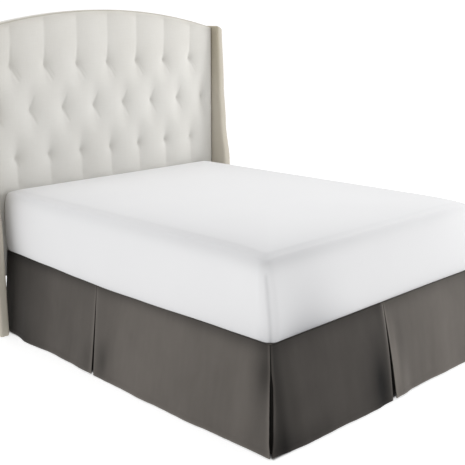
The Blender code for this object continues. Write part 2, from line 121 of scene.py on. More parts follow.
# Soft troughs pressed into a drop: where along it, at what share of its height, how wide and
# how tall each one is in metres and in shares, and how deep in metres (a ridge is negative)
Trough = namedtuple("Trough", "along share width height depth")
SIDE_TROUGHS = table(Trough, (
    (0.16, 0.62, 0.050, 0.45, 0.0030), (0.33, 0.75, 0.060, 0.50, -0.0020),
    (0.58, 0.55, 0.070, 0.60, 0.0025), (0.90, 0.80, 0.080, 0.45, 0.0030),
    (1.06, 0.92, 0.045, 0.22, 0.0045), (1.22, 0.85, 0.050, 0.30, -0.0030),
    (1.46, 0.70, 0.080, 0.50, 0.0030), (1.78, 0.60, 0.070, 0.60, -0.0025),
))
FOOT_TROUGHS = table(Trough, (
    (-0.62, 0.70, 0.060, 0.50, 0.0030), (-0.36, 0.60, 0.070, 0.55, -0.0020),
    (-0.075, 0.90, 0.050, 0.28, 0.0060), (0.085, 0.80, 0.045, 0.60, -0.0030),
    (0.22, 0.70, 0.060, 0.50, 0.0030), (0.45, 0.60, 0.070, 0.55, -0.0020),
    (0.63, 0.75, 0.060, 0.45, 0.0025),
))
# Low waves along a drop: wavelength in metres, height in metres at the hem, place of the first crest
Wave = namedtuple("Wave", "length height start")
DROP_WAVES = (Wave(0.31, 0.0011, 0.07), Wave(0.17, 0.0008, 0.03), Wave(0.083, 0.0004, 0.02))


def linear(code):
    """The linear colour of an sRGB hex value."""
    parts = [int(code[i:i + 2], 16) / 255 for i in (1, 3, 5)]
    return tuple(c / 12.92 if c <= 0.04045 else ((c + 0.055) / 1.055) ** 2.4 for c in parts)


def colour_property(name, text, code):
    return bpy.props.FloatVectorProperty(
        name=name, description=text, subtype="COLOR", size=3, min=0.0, max=1.0, default=linear(code))


def length_property(name, text, value):
    return bpy.props.FloatProperty(
        name=name, description=text, unit="LENGTH", subtype="DISTANCE", min=0.0, default=value)


def factor_property(name, text, value):
    return bpy.props.FloatProperty(
        name=name, description=text, subtype="FACTOR", min=0.0, max=4.0, default=value)


class SkirtSettings(bpy.types.PropertyGroup):
    """Sizes and colours of the skirt."""
    # Painted shade takes the skirt's colour towards the first of these, and painted highlights towards the
    # second, along with random tone
    lain: colour_property("Nap lain down", "Colour where the nap lies away", "#0a0909")
    raised_and_lit: colour_property("Nap raised", "Colour where the nap stands up", "#857f79")
    thread: colour_property("Thread", "Colour of the hem stitches", "#4a4540")
    wave: factor_property("Waves", "How far the drops wave, against the usual", 1.0)
    stitch_pitch: length_property("Stitch pitch", "From one stitch to the next", 0.0042)
    stitch_length: length_property("Stitch length", "Thread that shows in one stitch", 0.0030)
    thread_radius: length_property("Thread radius", "Half the thread's thickness", 0.0003)


class BeddingSettings(bpy.types.PropertyGroup):
    """Colours of the sheet and ticking."""
    sheet: colour_property("Sheet", "Colour of the cotton sheet", "#e4e4e5")
    # Painted shade on the sheet takes its colour towards this one
    painted_shade_colour: colour_property("Sheet in folds", "Colour of the sheet in its folds", "#77787d")
    ticking: colour_property("Ticking", "Ground colour of the ticking", "#e4e2dc")
    stripe: colour_property("Stripe", "Colour of the ticking's stripes", "#b9bcc0")
    piping: length_property("Piping radius", "Half the thickness of the taped edges", 0.0040)


class HeadboardSettings(bpy.types.PropertyGroup):
    """Sizes and colours of the upholstered headboard."""
    panel: colour_property("Panel", "Colour of the linen on the panel", "#dbdad6")
    edge: colour_property("Welt", "Colour of the cord along the panel's top", "#b4b0a6")
    # The panel's colour goes towards this one deep in its weave and with painted shade
    weave_and_painted_shade: colour_property("Panel in recesses", "Colour of the panel's linen deep in its weave", "#a49d90")
    wing: colour_property("Wings", "Colour of the linen on the wings", "#c2bcb0")
    # The wings' colour goes towards this one deep in their weave and with painted shade on their inner sides
    inside: colour_property("Wings inside", "Colour of the wings' linen on their inner side", "#958c76")
    tuft_depth: length_property("Tuft depth", "How far a tuft is pulled in", 0.025)
    puff: length_property("Puff", "How far the padding stands out between the folds", 0.0115)
    welt: length_property("Welt radius", "Half the thickness of the cord along the panel's top", 0.0040)


class StageSettings(bpy.types.PropertyGroup):
    """The studio round the bed."""
    floor: colour_property("Floor", "Colour of the pale floor", "#c4c4c4")
    steel: colour_property("Frame", "Colour of the powder coat", "#1c1d1f")
    wood: colour_property("Posts", "Colour of the stained wood", "#4b3524")
    light: factor_property("Light", "Strength of all the lights, against the usual", 1.0)


# Materials

# How strongly the floor glows, and where its light stops: half the unlit part's width and length
# under the bed, and how far either side of its edge it fades
FLOOR_GLOW = 0.64
UNLIT_HALF_WIDTH = 0.822
UNLIT_HALF_LENGTH = 1.090
UNLIT_FADE = 0.010


def node(tree, kind, links=None, out=None, **settings):
    """Adds a node with its settings, each input given a value or joined to a socket, and gives
    back the node or one of its outputs."""
    made = tree.nodes.new(kind)
    for key, value in settings.items():
        setattr(made, key, value)
    for socket, value in (links or {}).items():
        if isinstance(value, bpy.types.NodeSocket):
            tree.links.new(value, made.inputs[socket])
        else:
            made.inputs[socket].default_value = value
    return made if out is None else made.outputs[out]


def new_material(name, roughness, **values):
    """A Principled material whose whole-surface values are set on the shader itself."""
    made = bpy.data.materials.new(name)
    made.use_nodes = True
    shader = made.node_tree.nodes["Principled BSDF"]
    shader.inputs["Roughness"].default_value = roughness
    for socket, value in values.items():
        shader.inputs[socket.replace("_", " ")].default_value = value
    return made, made.node_tree


def patches(tree, scale, detail=2.0, rough=0.5, warp=0.0):
    """Soft random patches from 0 to 1 that stay on the piece, scale of them to a metre each way."""
    place = node(tree, "ShaderNodeTexCoord", out="Object")
    place = node(tree, "ShaderNodeMapping", {"Vector": place, "Scale": scale}, "Vector")
    links = {"Vector": place, "Scale": 1.0, "Detail": detail, "Roughness": rough, "Distortion": warp}
    return node(tree, "ShaderNodeTexNoise", links, "Fac")


def dressed(made, share, first, second, height, depth, strength):
    """Ends a material: its colour goes from first to second with share, and height stands out."""
    tree = made.node_tree
    shader = tree.nodes["Principled BSDF"]
    mixed = node(tree, "ShaderNodeMix", {0: share, 6: (*first, 1.0), 7: (*second, 1.0)}, 2, data_type="RGBA")
    tree.links.new(mixed, shader.inputs["Base Color"])
    relief = {"Height": height, "Distance": depth, "Strength": strength}
    tree.links.new(node(tree, "ShaderNodeBump", relief, "Normal"), shader.inputs["Normal"])
    return made


def microfibre(name, settings):
    """Polyester microfibre, woven and brushed to a short pile, with no shine. Its colour carries painted
    light and shade from an attribute, painted highlights along folds among them, under soft random patches
    and streaks."""
    made, tree = new_material(name, 0.86, Sheen_Weight=0.05, Sheen_Roughness=0.45, Specular_IOR_Level=0.12)
    # Painted light and shade, given at each point of the cloth
    nap = node(tree, "ShaderNodeAttribute", out="Fac", attribute_name="nap")
    blotch = patches(tree, (6.0, 6.0, 4.5), 3.0, 0.55, 0.4)
    streak = patches(tree, (34.0, 34.0, 2.2))
    rough_nap = node(tree, "ShaderNodeMath", {0: blotch, 1: 0.14, 2: 0.40}, 0, operation="MULTIPLY_ADD")
    rough_nap = node(tree, "ShaderNodeMath", {0: streak, 1: 0.06, 2: rough_nap}, 0, operation="MULTIPLY_ADD")
    tone = node(tree, "ShaderNodeMath", {0: nap, 1: rough_nap}, 0, operation="MULTIPLY")
    # Fibres 0.02 mm thick lie in tufts of about 0.5 mm, drawn here at 2.5 mm so that they show
    fibre = patches(tree, (400.0, 400.0, 260.0), 2.0, 0.6)
    return dressed(made, tone, settings.lain, settings.raised_and_lit, fibre, 0.0005, 0.18)


def sewing_thread(name, settings):
    """Spun polyester thread: a little darker and smoother than the cloth it sinks into."""
    made, tree = new_material(name, 0.6)
    # The ply turns every 0.6 mm or so
    ply = patches(tree, (900.0, 900.0, 900.0), 1.0)
    lighter = [min(1.0, c * 1.35) for c in settings.thread]
    return dressed(made, ply, settings.thread, lighter, ply, 0.0001, 0.3)


def cotton_sheeting(name, settings):
    """Cotton percale, bleached and pressed: even white with a faint slub, matt, with painted shade where the
    fold attribute says.
    """
    made, tree = new_material(name, 0.82, Sheen_Weight=0.05)
    # Painted shade, given at each point of the sheet
    fold = node(tree, "ShaderNodeAttribute", out="Fac", attribute_name="fold")
    cloud = patches(tree, (4.0, 4.0, 4.0), 3.0)
    tone = node(tree, "ShaderNodeMath", {0: cloud, 1: 0.03, 2: fold}, 0, operation="MULTIPLY_ADD")
    # Percale has about 4 threads to a millimetre, drawn here as slubs every 3 mm
    slub = patches(tree, (330.0, 330.0, 330.0), 1.0)
    crumple = patches(tree, (9.0, 9.0, 14.0), 2.0, 0.5, 0.6)
    relief = node(tree, "ShaderNodeMath", {0: crumple, 1: 5.0, 2: slub}, 0, operation="MULTIPLY_ADD")
    return dressed(made, tone, settings.sheet, settings.painted_shade_colour, relief, 0.0006, 0.16)


def linen(name, inside, colour, depth):
    """Linen and viscose furnishing weave: matt, with thick and thin threads both ways. Its colour
    deepens with painted shade as far as the shade attribute says."""
    made, tree = new_material(name, 0.88, Sheen_Weight=0.08)
    # Threads lie 0.7 mm apart, drawn here at 3 mm so that the slubs show
    warp = patches(tree, (330.0, 330.0, 22.0), 1.0)
    weft = patches(tree, (22.0, 22.0, 330.0), 1.0)
    weave = node(tree, "ShaderNodeMath", {0: warp, 1: weft}, 0, operation="ADD")
    cloud = patches(tree, (3.0, 3.0, 3.0), 3.0)
    tone = node(tree, "ShaderNodeMath", {0: cloud, 1: 0.16}, 0, operation="MULTIPLY")
    tone = node(tree, "ShaderNodeMath", {0: weave, 1: 0.08, 2: tone}, 0, operation="MULTIPLY_ADD")
    # Painted shade, given at each point
    shade = node(tree, "ShaderNodeAttribute", out="Fac", attribute_name="shade")
    tone = node(tree, "ShaderNodeMath", {0: tone, 1: shade}, 0, operation="ADD")
    return dressed(made, tone, colour, inside, weave, depth, 0.25)


def striped_ticking(name, settings):
    """Cotton ticking: a close twill with woven stripes 9 mm wide every 36 mm."""
    made, tree = new_material(name, 0.8)
    place = node(tree, "ShaderNodeTexCoord", out="Object")
    parts = node(tree, "ShaderNodeSeparateXYZ", {"Vector": place}).outputs
    across = node(tree, "ShaderNodeMath", {0: parts["X"], 1: parts["Y"]}, 0, operation="ADD")
    repeat = node(tree, "ShaderNodeMath", {0: across, 1: 0.018}, 0, operation="PINGPONG")
    stripe = node(tree, "ShaderNodeMath", {0: repeat, 1: 0.0045}, 0, operation="LESS_THAN")
    # The twill's ribs are 0.8 mm apart, drawn at 3 mm
    twill = patches(tree, (300.0, 300.0, 300.0), 1.0)
    return dressed(made, stripe, settings.ticking, settings.stripe, twill, 0.0004, 0.2)


def powder_coat(name, settings):
    """Polyester powder coat on steel: satin, with the fine orange peel that baking leaves."""
    made, tree = new_material(name, 0.42)
    worn = [c + 0.05 for c in settings.steel]
    # The peel is about 1.5 mm across, drawn at 3 mm
    peel = patches(tree, (330.0, 330.0, 330.0), 1.0)
    return dressed(made, patches(tree, (12.0, 12.0, 12.0), 4.0), settings.steel, worn, peel, 0.0003, 0.3)


def stained_wood(name, settings):
    """Stained hardwood, planed: straight grain up the post, satin."""
    made, tree = new_material(name, 0.5)
    # Growth rings cut the face every 4 mm or so
    grain = patches(tree, (240.0, 240.0, 5.0), 3.0, 0.6, 0.3)
    darker = [c * 0.45 for c in settings.wood]
    return dressed(made, grain, darker, settings.wood, grain, 0.0004, 0.25)


def opal_floor(name, settings):
    """Opal acrylic lit from below, as under a product on a light table: white, with faint shadows."""
    made, tree = new_material(name, 0.9, Specular_IOR_Level=0.2, Emission_Color=(1.0, 1.0, 1.0, 1.0))
    place = node(tree, "ShaderNodeTexCoord", out="Object")
    parts = node(tree, "ShaderNodeSeparateXYZ", {"Vector": place}).outputs
    beyond = []
    for axis, half in (("X", UNLIT_HALF_WIDTH), ("Y", UNLIT_HALF_LENGTH)):
        away = node(tree, "ShaderNodeMath", {0: parts[axis]}, 0, operation="ABSOLUTE")
        beyond.append(node(tree, "ShaderNodeMath", {0: away, 1: half}, 0, operation="SUBTRACT"))
    away = node(tree, "ShaderNodeMath", {0: beyond[0], 1: beyond[1]}, 0, operation="MAXIMUM")
    links = {"Value": away, "From Min": -UNLIT_FADE, "From Max": UNLIT_FADE, "To Max": FLOOR_GLOW}
    lit = node(tree, "ShaderNodeMapRange", links, "Result", interpolation_type="SMOOTHSTEP")
    tree.links.new(lit, tree.nodes["Principled BSDF"].inputs["Emission Strength"])
    shade = [c * 0.985 for c in settings.floor]
    # Cast acrylic is even, with a slow change over half a metre
    cloud = patches(tree, (1.5, 1.5, 1.5))
    return dressed(made, cloud, shade, settings.floor, cloud, 0.0001, 0.05)


def finish(name, make, *values):
    """One material, made the first time that it is asked for."""
    return bpy.data.materials.get(name) or make(name, *values)


# Meshes


def clamp(value):
    return min(1.0, max(0.0, value))


def mix(first, second, share):
    return first * (1 - share) + second * share


def smooth(value, start, end):
    """Rises softly from 0 at start to 1 at end."""
    share = clamp((value - start) / (end - start))
    return share * share * (3 - 2 * share)


def round_over(share):
    """How far a rounded edge has fallen away, from 0 to 1, at a share of its radius."""
    return 1 - math.sqrt(max(0.0, 1 - share * share))


def blend(rows, place, key, value):
    """A smooth value between the rows of a short table, level at each row."""
    places = [getattr(row, key) for row in rows]
    if place <= places[0]:
        return getattr(rows[0], value)
    for low, high in zip(rows, rows[1:]):
        start, end = getattr(low, key), getattr(high, key)
        if place <= end:
            share = (place - start) / (end - start)
            share = share * share * (3 - 2 * share)
            return getattr(low, value) * (1 - share) + getattr(high, value) * share
    return getattr(rows[-1], value)


def spaced(start, end, pieces):
    return [mix(start, end, i / pieces) for i in range(pieces + 1)]


def smooth_line(points, steps):
    """A smooth line through the points, with steps pieces between each two."""
    line = []
    for i in range(len(points) - 1):
        before, start = points[max(i - 1, 0)], points[i]
        end, after = points[i + 1], points[min(i + 2, len(points) - 1)]
        for j in range(steps):
            t = j / steps
            line.append(tuple(
                0.5 * (2 * b + (c - a) * t + (2 * a - 5 * b + 4 * c - d) * t * t
                       + (3 * b - a - 3 * c + d) * t ** 3)
                for a, b, c, d in zip(before, start, end, after)))
    line.append(tuple(points[-1]))
    return line


def grid_faces(rows, across):
    """The faces between rows of points, each row with across of them."""
    return [(j * across + i, j * across + i + 1, (j + 1) * across + i + 1, (j + 1) * across + i)
            for j in range(rows - 1) for i in range(across - 1)]


def new_piece(name, points, faces, material, smooth=True):
    """A piece from points in the bed's own frame, moved along the bed into the model's frame."""
    mesh = bpy.data.meshes.new(name)
    mesh.from_pydata([(x, y + BED_SHIFT_Y, z) for x, y, z in points], [], faces)
    mesh.update()
    if smooth:
        mesh.shade_smooth()
    mesh.materials.append(material)
    piece = bpy.data.objects.new(name, mesh)
    bpy.context.scene.collection.objects.link(piece)
    return piece


def settled(piece):
    """The piece with its modifiers worked into a plain mesh."""
    bpy.context.view_layer.update()
    graph = bpy.context.evaluated_depsgraph_get()
    mesh = bpy.data.meshes.new_from_object(piece.evaluated_get(graph), depsgraph=graph)
    old = piece.data
    piece.modifiers.clear()
    piece.data = mesh
    mesh.name = piece.name
    bpy.data.meshes.remove(old)
    return piece


def marked(piece, name, values):
    """Gives each point a value that the piece's material reads under this name."""
    piece.data.attributes.new(name, "FLOAT", "POINT").data.foreach_set("value", values)


def thickened(piece, **settings):
    """A sheet given its cloth's thickness, half to each side."""
    wall = piece.modifiers.new("cloth", "SOLIDIFY")
    wall.offset = 0.0
    for key, value in settings.items():
        setattr(wall, key, value)
    return settled(piece)


def turned_out(piece):
    """Faces all pointing outwards, once doubled points are merged."""
    build = bmesh.new()
    build.from_mesh(piece.data)
    bmesh.ops.remove_doubles(build, verts=build.verts, dist=1e-6)
    bmesh.ops.recalc_face_normals(build, faces=build.faces)
    build.to_mesh(piece.data)
    build.free()
    return piece


def on_root(piece, slot, *nodes):
    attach(piece, "root")
    if nodes:
        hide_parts(*nodes)
    return piece


# Repeats along a path: stitches and corded edges


def tree_inputs(tree, sizes):
    """Gives a tree its geometry, its named sizes and its material, and returns their identifiers."""
    face = tree.interface
    face.new_socket("Geometry", in_out="INPUT", socket_type="NodeSocketGeometry")
    for name in sizes:
        face.new_socket(name, in_out="INPUT", socket_type="NodeSocketFloat")
    face.new_socket("Material", in_out="INPUT", socket_type="NodeSocketMaterial")
    face.new_socket("Geometry", in_out="OUTPUT", socket_type="NodeSocketGeometry")
    return {item.name: item.identifier for item in face.items_tree if item.in_out == "INPUT"}


def stitch_tree():
    """Lays a small rounded stitch at every pitch along a path."""
    tree = bpy.data.node_groups.new("stitch_row", "GeometryNodeTree")
    names = tree_inputs(tree, ("Pitch", "Length", "Radius"))
    given = node(tree, "NodeGroupInput").outputs
    path = node(tree, "GeometryNodeMeshToCurve", {0: given["Geometry"]}, 0)
    spots = node(tree, "GeometryNodeCurveToPoints", {"Curve": path, "Length": given["Pitch"]}, mode="LENGTH")
    stitch = node(tree, "GeometryNodeMeshUVSphere", {"Segments": 6, "Rings": 4, "Radius": 1.0}, "Mesh")
    half = node(tree, "ShaderNodeMath", {0: given["Length"], 1: 0.5}, 0, operation="MULTIPLY")
    size = node(tree, "ShaderNodeCombineXYZ", {"X": half, "Y": given["Radius"], "Z": given["Radius"]})
    turn = node(tree, "FunctionNodeAlignRotationToVector", {"Vector": spots.outputs["Tangent"]}, axis="X")
    links = {"Points": spots.outputs["Points"], "Instance": stitch, "Rotation": turn.outputs[0],
             "Scale": size.outputs[0]}
    laid = node(tree, "GeometryNodeInstanceOnPoints", links, 0)
    real = node(tree, "GeometryNodeRealizeInstances", {0: laid}, 0)
    done = node(tree, "GeometryNodeSetMaterial", {"Geometry": real, "Material": given["Material"]})
    node(tree, "NodeGroupOutput", {0: done.outputs[0]})
    return tree, names


def cord_tree():
    """Sweeps a round cord along a path."""
    tree = bpy.data.node_groups.new("corded_edge", "GeometryNodeTree")
    names = tree_inputs(tree, ("Radius",))
    given = node(tree, "NodeGroupInput").outputs
    path = node(tree, "GeometryNodeMeshToCurve", {0: given["Geometry"]}, 0)
    ring = node(tree, "GeometryNodeCurvePrimitiveCircle", {"Resolution": 10, "Radius": given["Radius"]})
    swept = node(tree, "GeometryNodeCurveToMesh",
                 {"Curve": path, "Profile Curve": ring.outputs[0], "Fill Caps": True}, 0)
    real = node(tree, "GeometryNodeRealizeInstances", {0: swept}, 0)
    done = node(tree, "GeometryNodeSetMaterial", {"Geometry": real, "Material": given["Material"]})
    node(tree, "NodeGroupOutput", {0: done.outputs[0]})
    return tree, names


def along_paths(name, paths, closed, make_tree, material, **sizes):
    """A piece that repeats or sweeps a shape along one or more paths."""
    points, edges = [], []
    for path in paths:
        first = len(points)
        points += [(x, y + BED_SHIFT_Y, z) for x, y, z in path]
        edges += [(first + i, first + i + 1) for i in range(len(path) - 1)]
        if closed:
            edges.append((len(points) - 1, first))
    mesh = bpy.data.meshes.new(name)
    mesh.from_pydata(points, edges, [])
    piece = bpy.data.objects.new(name, mesh)
    bpy.context.scene.collection.objects.link(piece)
    tree, names = make_tree()
    modifier = piece.modifiers.new("repeat", "NODES")
    modifier.node_group = tree
    for size, value in sizes.items():
        modifier[names[size]] = value
    modifier[names["Material"]] = material
    settled(piece)
    bpy.data.node_groups.remove(tree)
    turned_out(piece)
    piece.data.shade_smooth()
    return piece


# The skirt


def spring_out(share, spring):
    return spring * share + (1 - spring) * share * share


def half_turn(along, out_from, out_to, way):
    """Points round a folded edge from one layer to the next, bulging along the bed by way."""
    middle = (out_from + out_to) / 2
    radius = (out_from - out_to) / 2
    turn = [math.pi * i / FOLD_STEPS for i in range(FOLD_STEPS + 1)]
    return [(along + way * abs(radius) * math.sin(a), middle + radius * math.cos(a)) for a in turn]


def drop_front(rows, spring, troughs, ends, share, wave):
    """The front of a drop at one height, as a function of the place along it."""
    reached = spring_out(share, spring)

    def front(along):
        out = blend(rows, along, "along", "out") * reached
        from_end = min(abs(along - ends[0]), abs(along - ends[1]))
        calm = clamp((from_end - 0.10) / 0.08)
        swing = sum(w.height * math.sin(2 * math.pi * (along - w.start + 0.02 * share) / w.length)
                    for w in DROP_WAVES)
        press = sum(
            t.depth * math.exp(-((along - t.along) / t.width) ** 2 - ((share - t.share) / t.height) ** 2)
            for t in troughs)
        return out + wave * calm * share * (swing - press)

    return front


def side_front(share, wave=1.0):
    return drop_front(SIDE_HEM, SIDE_SPRING, SIDE_TROUGHS, (0.0, 9.0), share, wave)


def foot_front(share, wave=1.0):
    return drop_front(FOOT_HEM, FOOT_SPRING, FOOT_TROUGHS, (-HALF_WIDTH, HALF_WIDTH), share, wave)


def flat_run(front, start, end, deck_length):
    steps = round(deck_length / CLOTH_STEP)
    return [(along, front(along)) for along in spaced(start, end, steps)[1:-1]]


def layer_run(front, start, end, set_start, set_end):
    """A layer behind the front, set back by set_start at one end and set_end at the other."""
    return [(mix(start, end, t), front(mix(start, end, t)) - mix(set_start, set_end, t))
            for t in spaced(0.0, 1.0, RETURN_STEPS)[1:-1]]


def pleat_points(pleat, front, share):
    """An inverted pleat: each edge folds back behind its panel, joined by the underlay."""
    opening = max(0.0, share - PLEAT_CLOSED_SHARE) / (1 - PLEAT_CLOSED_SHARE)
    middle = mix(pleat.top, pleat.hem, share)
    before = middle - mix(PLEAT_CLOSED_GAP, pleat.gap_before, opening)
    after = middle + mix(PLEAT_CLOSED_GAP, pleat.gap_after, opening)
    setback = mix(2 * LAYER_PITCH, PLEAT_SETBACK_HEM, share)
    ends = middle - PLEAT_DEPTH, middle + PLEAT_DEPTH
    deep = front(ends[0]) - setback, front(ends[1]) - setback
    points = half_turn(before, front(before), front(before) - LAYER_PITCH, 1)
    points += layer_run(front, before, ends[0], LAYER_PITCH, setback - LAYER_PITCH)
    points += half_turn(ends[0], deep[0] + LAYER_PITCH, deep[0], -1)
    points += [(along, front(along) - setback) for along in spaced(ends[0], ends[1], 16)[1:-1]]
    points += half_turn(ends[1], deep[1], deep[1] + LAYER_PITCH, 1)
    points += layer_run(front, ends[1], after, setback - LAYER_PITCH, LAYER_PITCH)
    points += half_turn(after, front(after) - LAYER_PITCH, front(after), -1)
    return before, after, points


def corner_setback(share):
    return mix(LAYER_PITCH, CORNER_SETBACK_HEM, share)


def corner_points(edge, root, front, share, way):
    """A corner fold and the return behind it, from the free end to the folded edge."""
    end = root - way * CORNER_RETURN
    inner = front(end) - corner_setback(share)
    outer = front(edge) - LAYER_PITCH
    half_way = (inner + front((end + edge) / 2) - LAYER_PITCH) / 2
    line = []
    for t in spaced(0.0, 1.0, RETURN_STEPS)[:-1]:
        bent = inner * (1 - t) * (1 - 2 * t) + half_way * 4 * t * (1 - t) + outer * t * (2 * t - 1)
        line.append((mix(end, edge, t), bent))
    return line + half_turn(edge, outer, front(edge), way)


def side_section(share, wave):
    """A side drop at one height, from the end of its corner return to the head of the bed."""
    front = side_front(share, wave)
    foot_out = spring_out(share, FOOT_SPRING) * FOOT_HEM[0].out
    edge = blend(CORNER_OPENING, share, "share", "side") - foot_out
    before, after, pleat = pleat_points(SIDE_PLEAT, front, share)
    points = corner_points(edge, 0.0, front, share, -1)
    points += flat_run(front, edge, before, SIDE_PLEAT.top) + pleat
    points += flat_run(front, after, SIDE_DROP_LENGTH, SIDE_DROP_LENGTH - SIDE_PLEAT.top)
    return points + [(SIDE_DROP_LENGTH, front(SIDE_DROP_LENGTH))]


def foot_section(share, wave):
    """The foot drop at one height, from its left corner return to its right one."""
    front = foot_front(share, wave)
    side_out = spring_out(share, SIDE_SPRING) * SIDE_HEM[0].out
    edge = HALF_WIDTH + side_out - blend(CORNER_OPENING, share, "share", "foot")
    before, after, pleat = pleat_points(FOOT_PLEAT, front, share)
    points = corner_points(-edge, -HALF_WIDTH, front, share, -1)
    points += flat_run(front, -edge, before, HALF_WIDTH) + pleat
    points += flat_run(front, after, edge, HALF_WIDTH)
    return points + corner_points(edge, HALF_WIDTH, front, share, 1)[::-1]


def insert_section(share):
    """The left corner insert at one height, as places across and along the bed."""
    behind = corner_setback(share) + LAYER_PITCH
    reach = CORNER_RETURN + CORNER_OVERLAP
    side_x = -HALF_WIDTH - side_front(share)(CORNER_RETURN) + behind
    foot_y = -HALF_LENGTH - foot_front(share)(-HALF_WIDTH + CORNER_RETURN) + behind
    points = [(side_x, y) for y in spaced(-HALF_LENGTH + reach, foot_y + INSERT_BEND, 14)]
    points += [
        (side_x + INSERT_BEND * (1 - math.cos(a)), foot_y + INSERT_BEND * (1 - math.sin(a)))
        for a in spaced(0.0, math.pi / 2, 7)[1:-1]
    ]
    return points + [(x, foot_y) for x in spaced(side_x + INSERT_BEND, -HALF_WIDTH + reach, 14)]


def row_shares():
    return spaced(0.0, HEM_SHARE - HEM_STEP, DROP_ROWS) + spaced(HEM_SHARE, 1.0, HEM_ROWS)


def line_normals(line):
    """The unit normal to the right of the walked line at each of its points."""
    normals = []
    for i in range(len(line)):
        ahead, behind = line[min(i + 1, len(line) - 1)], line[max(i - 1, 0)]
        run = math.hypot(ahead[0] - behind[0], ahead[1] - behind[1])
        normals.append(((ahead[1] - behind[1]) / run, (behind[0] - ahead[0]) / run))
    return normals


def hang_cloth(name, plan, lift_at, painted_light_at, settings):
    """A hanging strip of cloth with a turned hem, and the path of its hem stitches."""
    points, nap, hemmed = [], [], []
    shares = row_shares()
    for row, share in enumerate(shares):
        line = plan(share)
        across = len(line)
        for i, (x, y) in enumerate(line):
            points.append((x, y, mix(TOP_HEIGHT, lift_at(i), share)))
            nap.append(painted_light_at(i, share))
        if share >= HEM_SHARE:
            hemmed += range(row * across, (row + 1) * across)
    faces = [(a, d, c, b) for a, b, c, d in grid_faces(len(shares), across)]
    piece = new_piece(name, points, faces, finish("brushed_microfibre", microfibre, settings))
    marked(piece, "nap", nap)
    piece.vertex_groups.new(name="hem").add(hemmed, 1.0, "REPLACE")
    thickened(piece, thickness=HEM_CLOTH, vertex_group="hem", thickness_vertex_group=CLOTH / HEM_CLOTH)
    line = plan(HEM_SHARE)
    out = CLOTH / 2 + settings.thread_radius / 2
    path = [
        (x + nx * out, y + ny * out, mix(TOP_HEIGHT, lift_at(i), HEM_SHARE))
        for i, ((x, y), (nx, ny)) in enumerate(zip(line, line_normals(line)))
    ]
    return piece, path


# Painted light and shade along a drop, and painted patches: a negative change is painted shade, a positive
# one a painted highlight
NapRow = namedtuple("NapRow", "along nap")
Patch = namedtuple("Patch", "along share width height change")
# Painted shade on a side drop: darker at its corner and towards the head
SIDE_PAINTED_LIGHT = table(NapRow, (
    (0.00, 0.80), (0.12, 1.00), (0.20, 0.93), (0.35, 0.97), (0.70, 1.08), (0.90, 1.04), (1.05, 0.88),
    (1.20, 0.81), (1.50, 0.76), (1.65, 0.56), (1.80, 0.41),
))
# Painted shade in patches: at the corner, beside the pleat and low near the head
SIDE_PAINTED_PATCHES = table(Patch, (
    (0.00, 0.25, 0.070, 0.28, -0.46), (1.055, 0.80, 0.040, 0.20, -0.36),
    (1.175, 0.82, 0.050, 0.20, -0.13), (1.800, 0.95, 0.140, 0.22, -0.16),
))
# Painted light on the foot drop: darker left of its pleat and at its corners, lighter right of the pleat
FOOT_PAINTED_LIGHT = table(NapRow, (
    (-0.76, 0.25), (-0.70, 0.42), (-0.62, 0.52), (-0.35, 0.56), (-0.14, 0.57), (-0.09, 0.55),
    (-0.04, 0.47), (-0.02, 0.47), (0.01, 0.98), (0.18, 1.02), (0.26, 1.06), (0.34, 1.15), (0.47, 1.22),
    (0.62, 1.15), (0.78, 0.90),
))
# Painted shade in patches beside the pleat and near the left corner, and painted highlights beside the
# pleat's right edge and at the left corner's edge
FOOT_PAINTED_PATCHES = table(Patch, (
    (-0.095, 0.82, 0.055, 0.40, -0.50), (-0.180, 0.80, 0.070, 0.35, -0.14),
    (-0.600, 0.95, 0.200, 0.12, -0.12), (-0.740, 0.92, 0.050, 0.20, -0.10),
    (0.035, 0.62, 0.020, 0.34, 0.50), (0.100, 0.92, 0.060, 0.18, 0.20),
    (0.090, 0.42, 0.030, 0.22, -0.14), (-0.800, 0.60, 0.020, 0.20, 0.16),
))
# A painted highlight along a fold's edge: how much paler at the deck and at the hem, and how wide
FoldLine = namedtuple("FoldLine", "top hem top_width hem_width")
BEFORE_PLEAT = FoldLine(1.15, 0.80, 0.017, 0.010)
AFTER_PLEAT = FoldLine(0.60, 0.60, 0.007, 0.015)
AT_CORNER = FoldLine(0.95, 0.35, 0.007, 0.012)
# Painted shade on cloth that lies in a pleat or behind a corner
BEHIND_PAINTED_SHADE = 0.22
INSERT_PAINTED_SHADE = 0.16
DECK_NAP = 0.8
# A fine pale line along the hem's turned edge
HEM_EDGE_PALENESS = 0.45
# Of each drop: its painted light and shade along it, its painted patches, its painted shade under the deck's
# edge, and how strong the painted highlights on the pleat's two folds are
SIDE_TONES = (SIDE_PAINTED_LIGHT, SIDE_PAINTED_PATCHES, 0.45, (0.25, 0.70))
FOOT_TONES = (FOOT_PAINTED_LIGHT, FOOT_PAINTED_PATCHES, 0.25, (1.0, 1.0))


def fold_highlight(line, away, share):
    """How much paler a painted highlight makes the cloth at a distance from a fold's edge."""
    width = mix(line.top_width, line.hem_width, share)
    return mix(line.top, line.hem, share) * math.exp(-(away / width) ** 2)


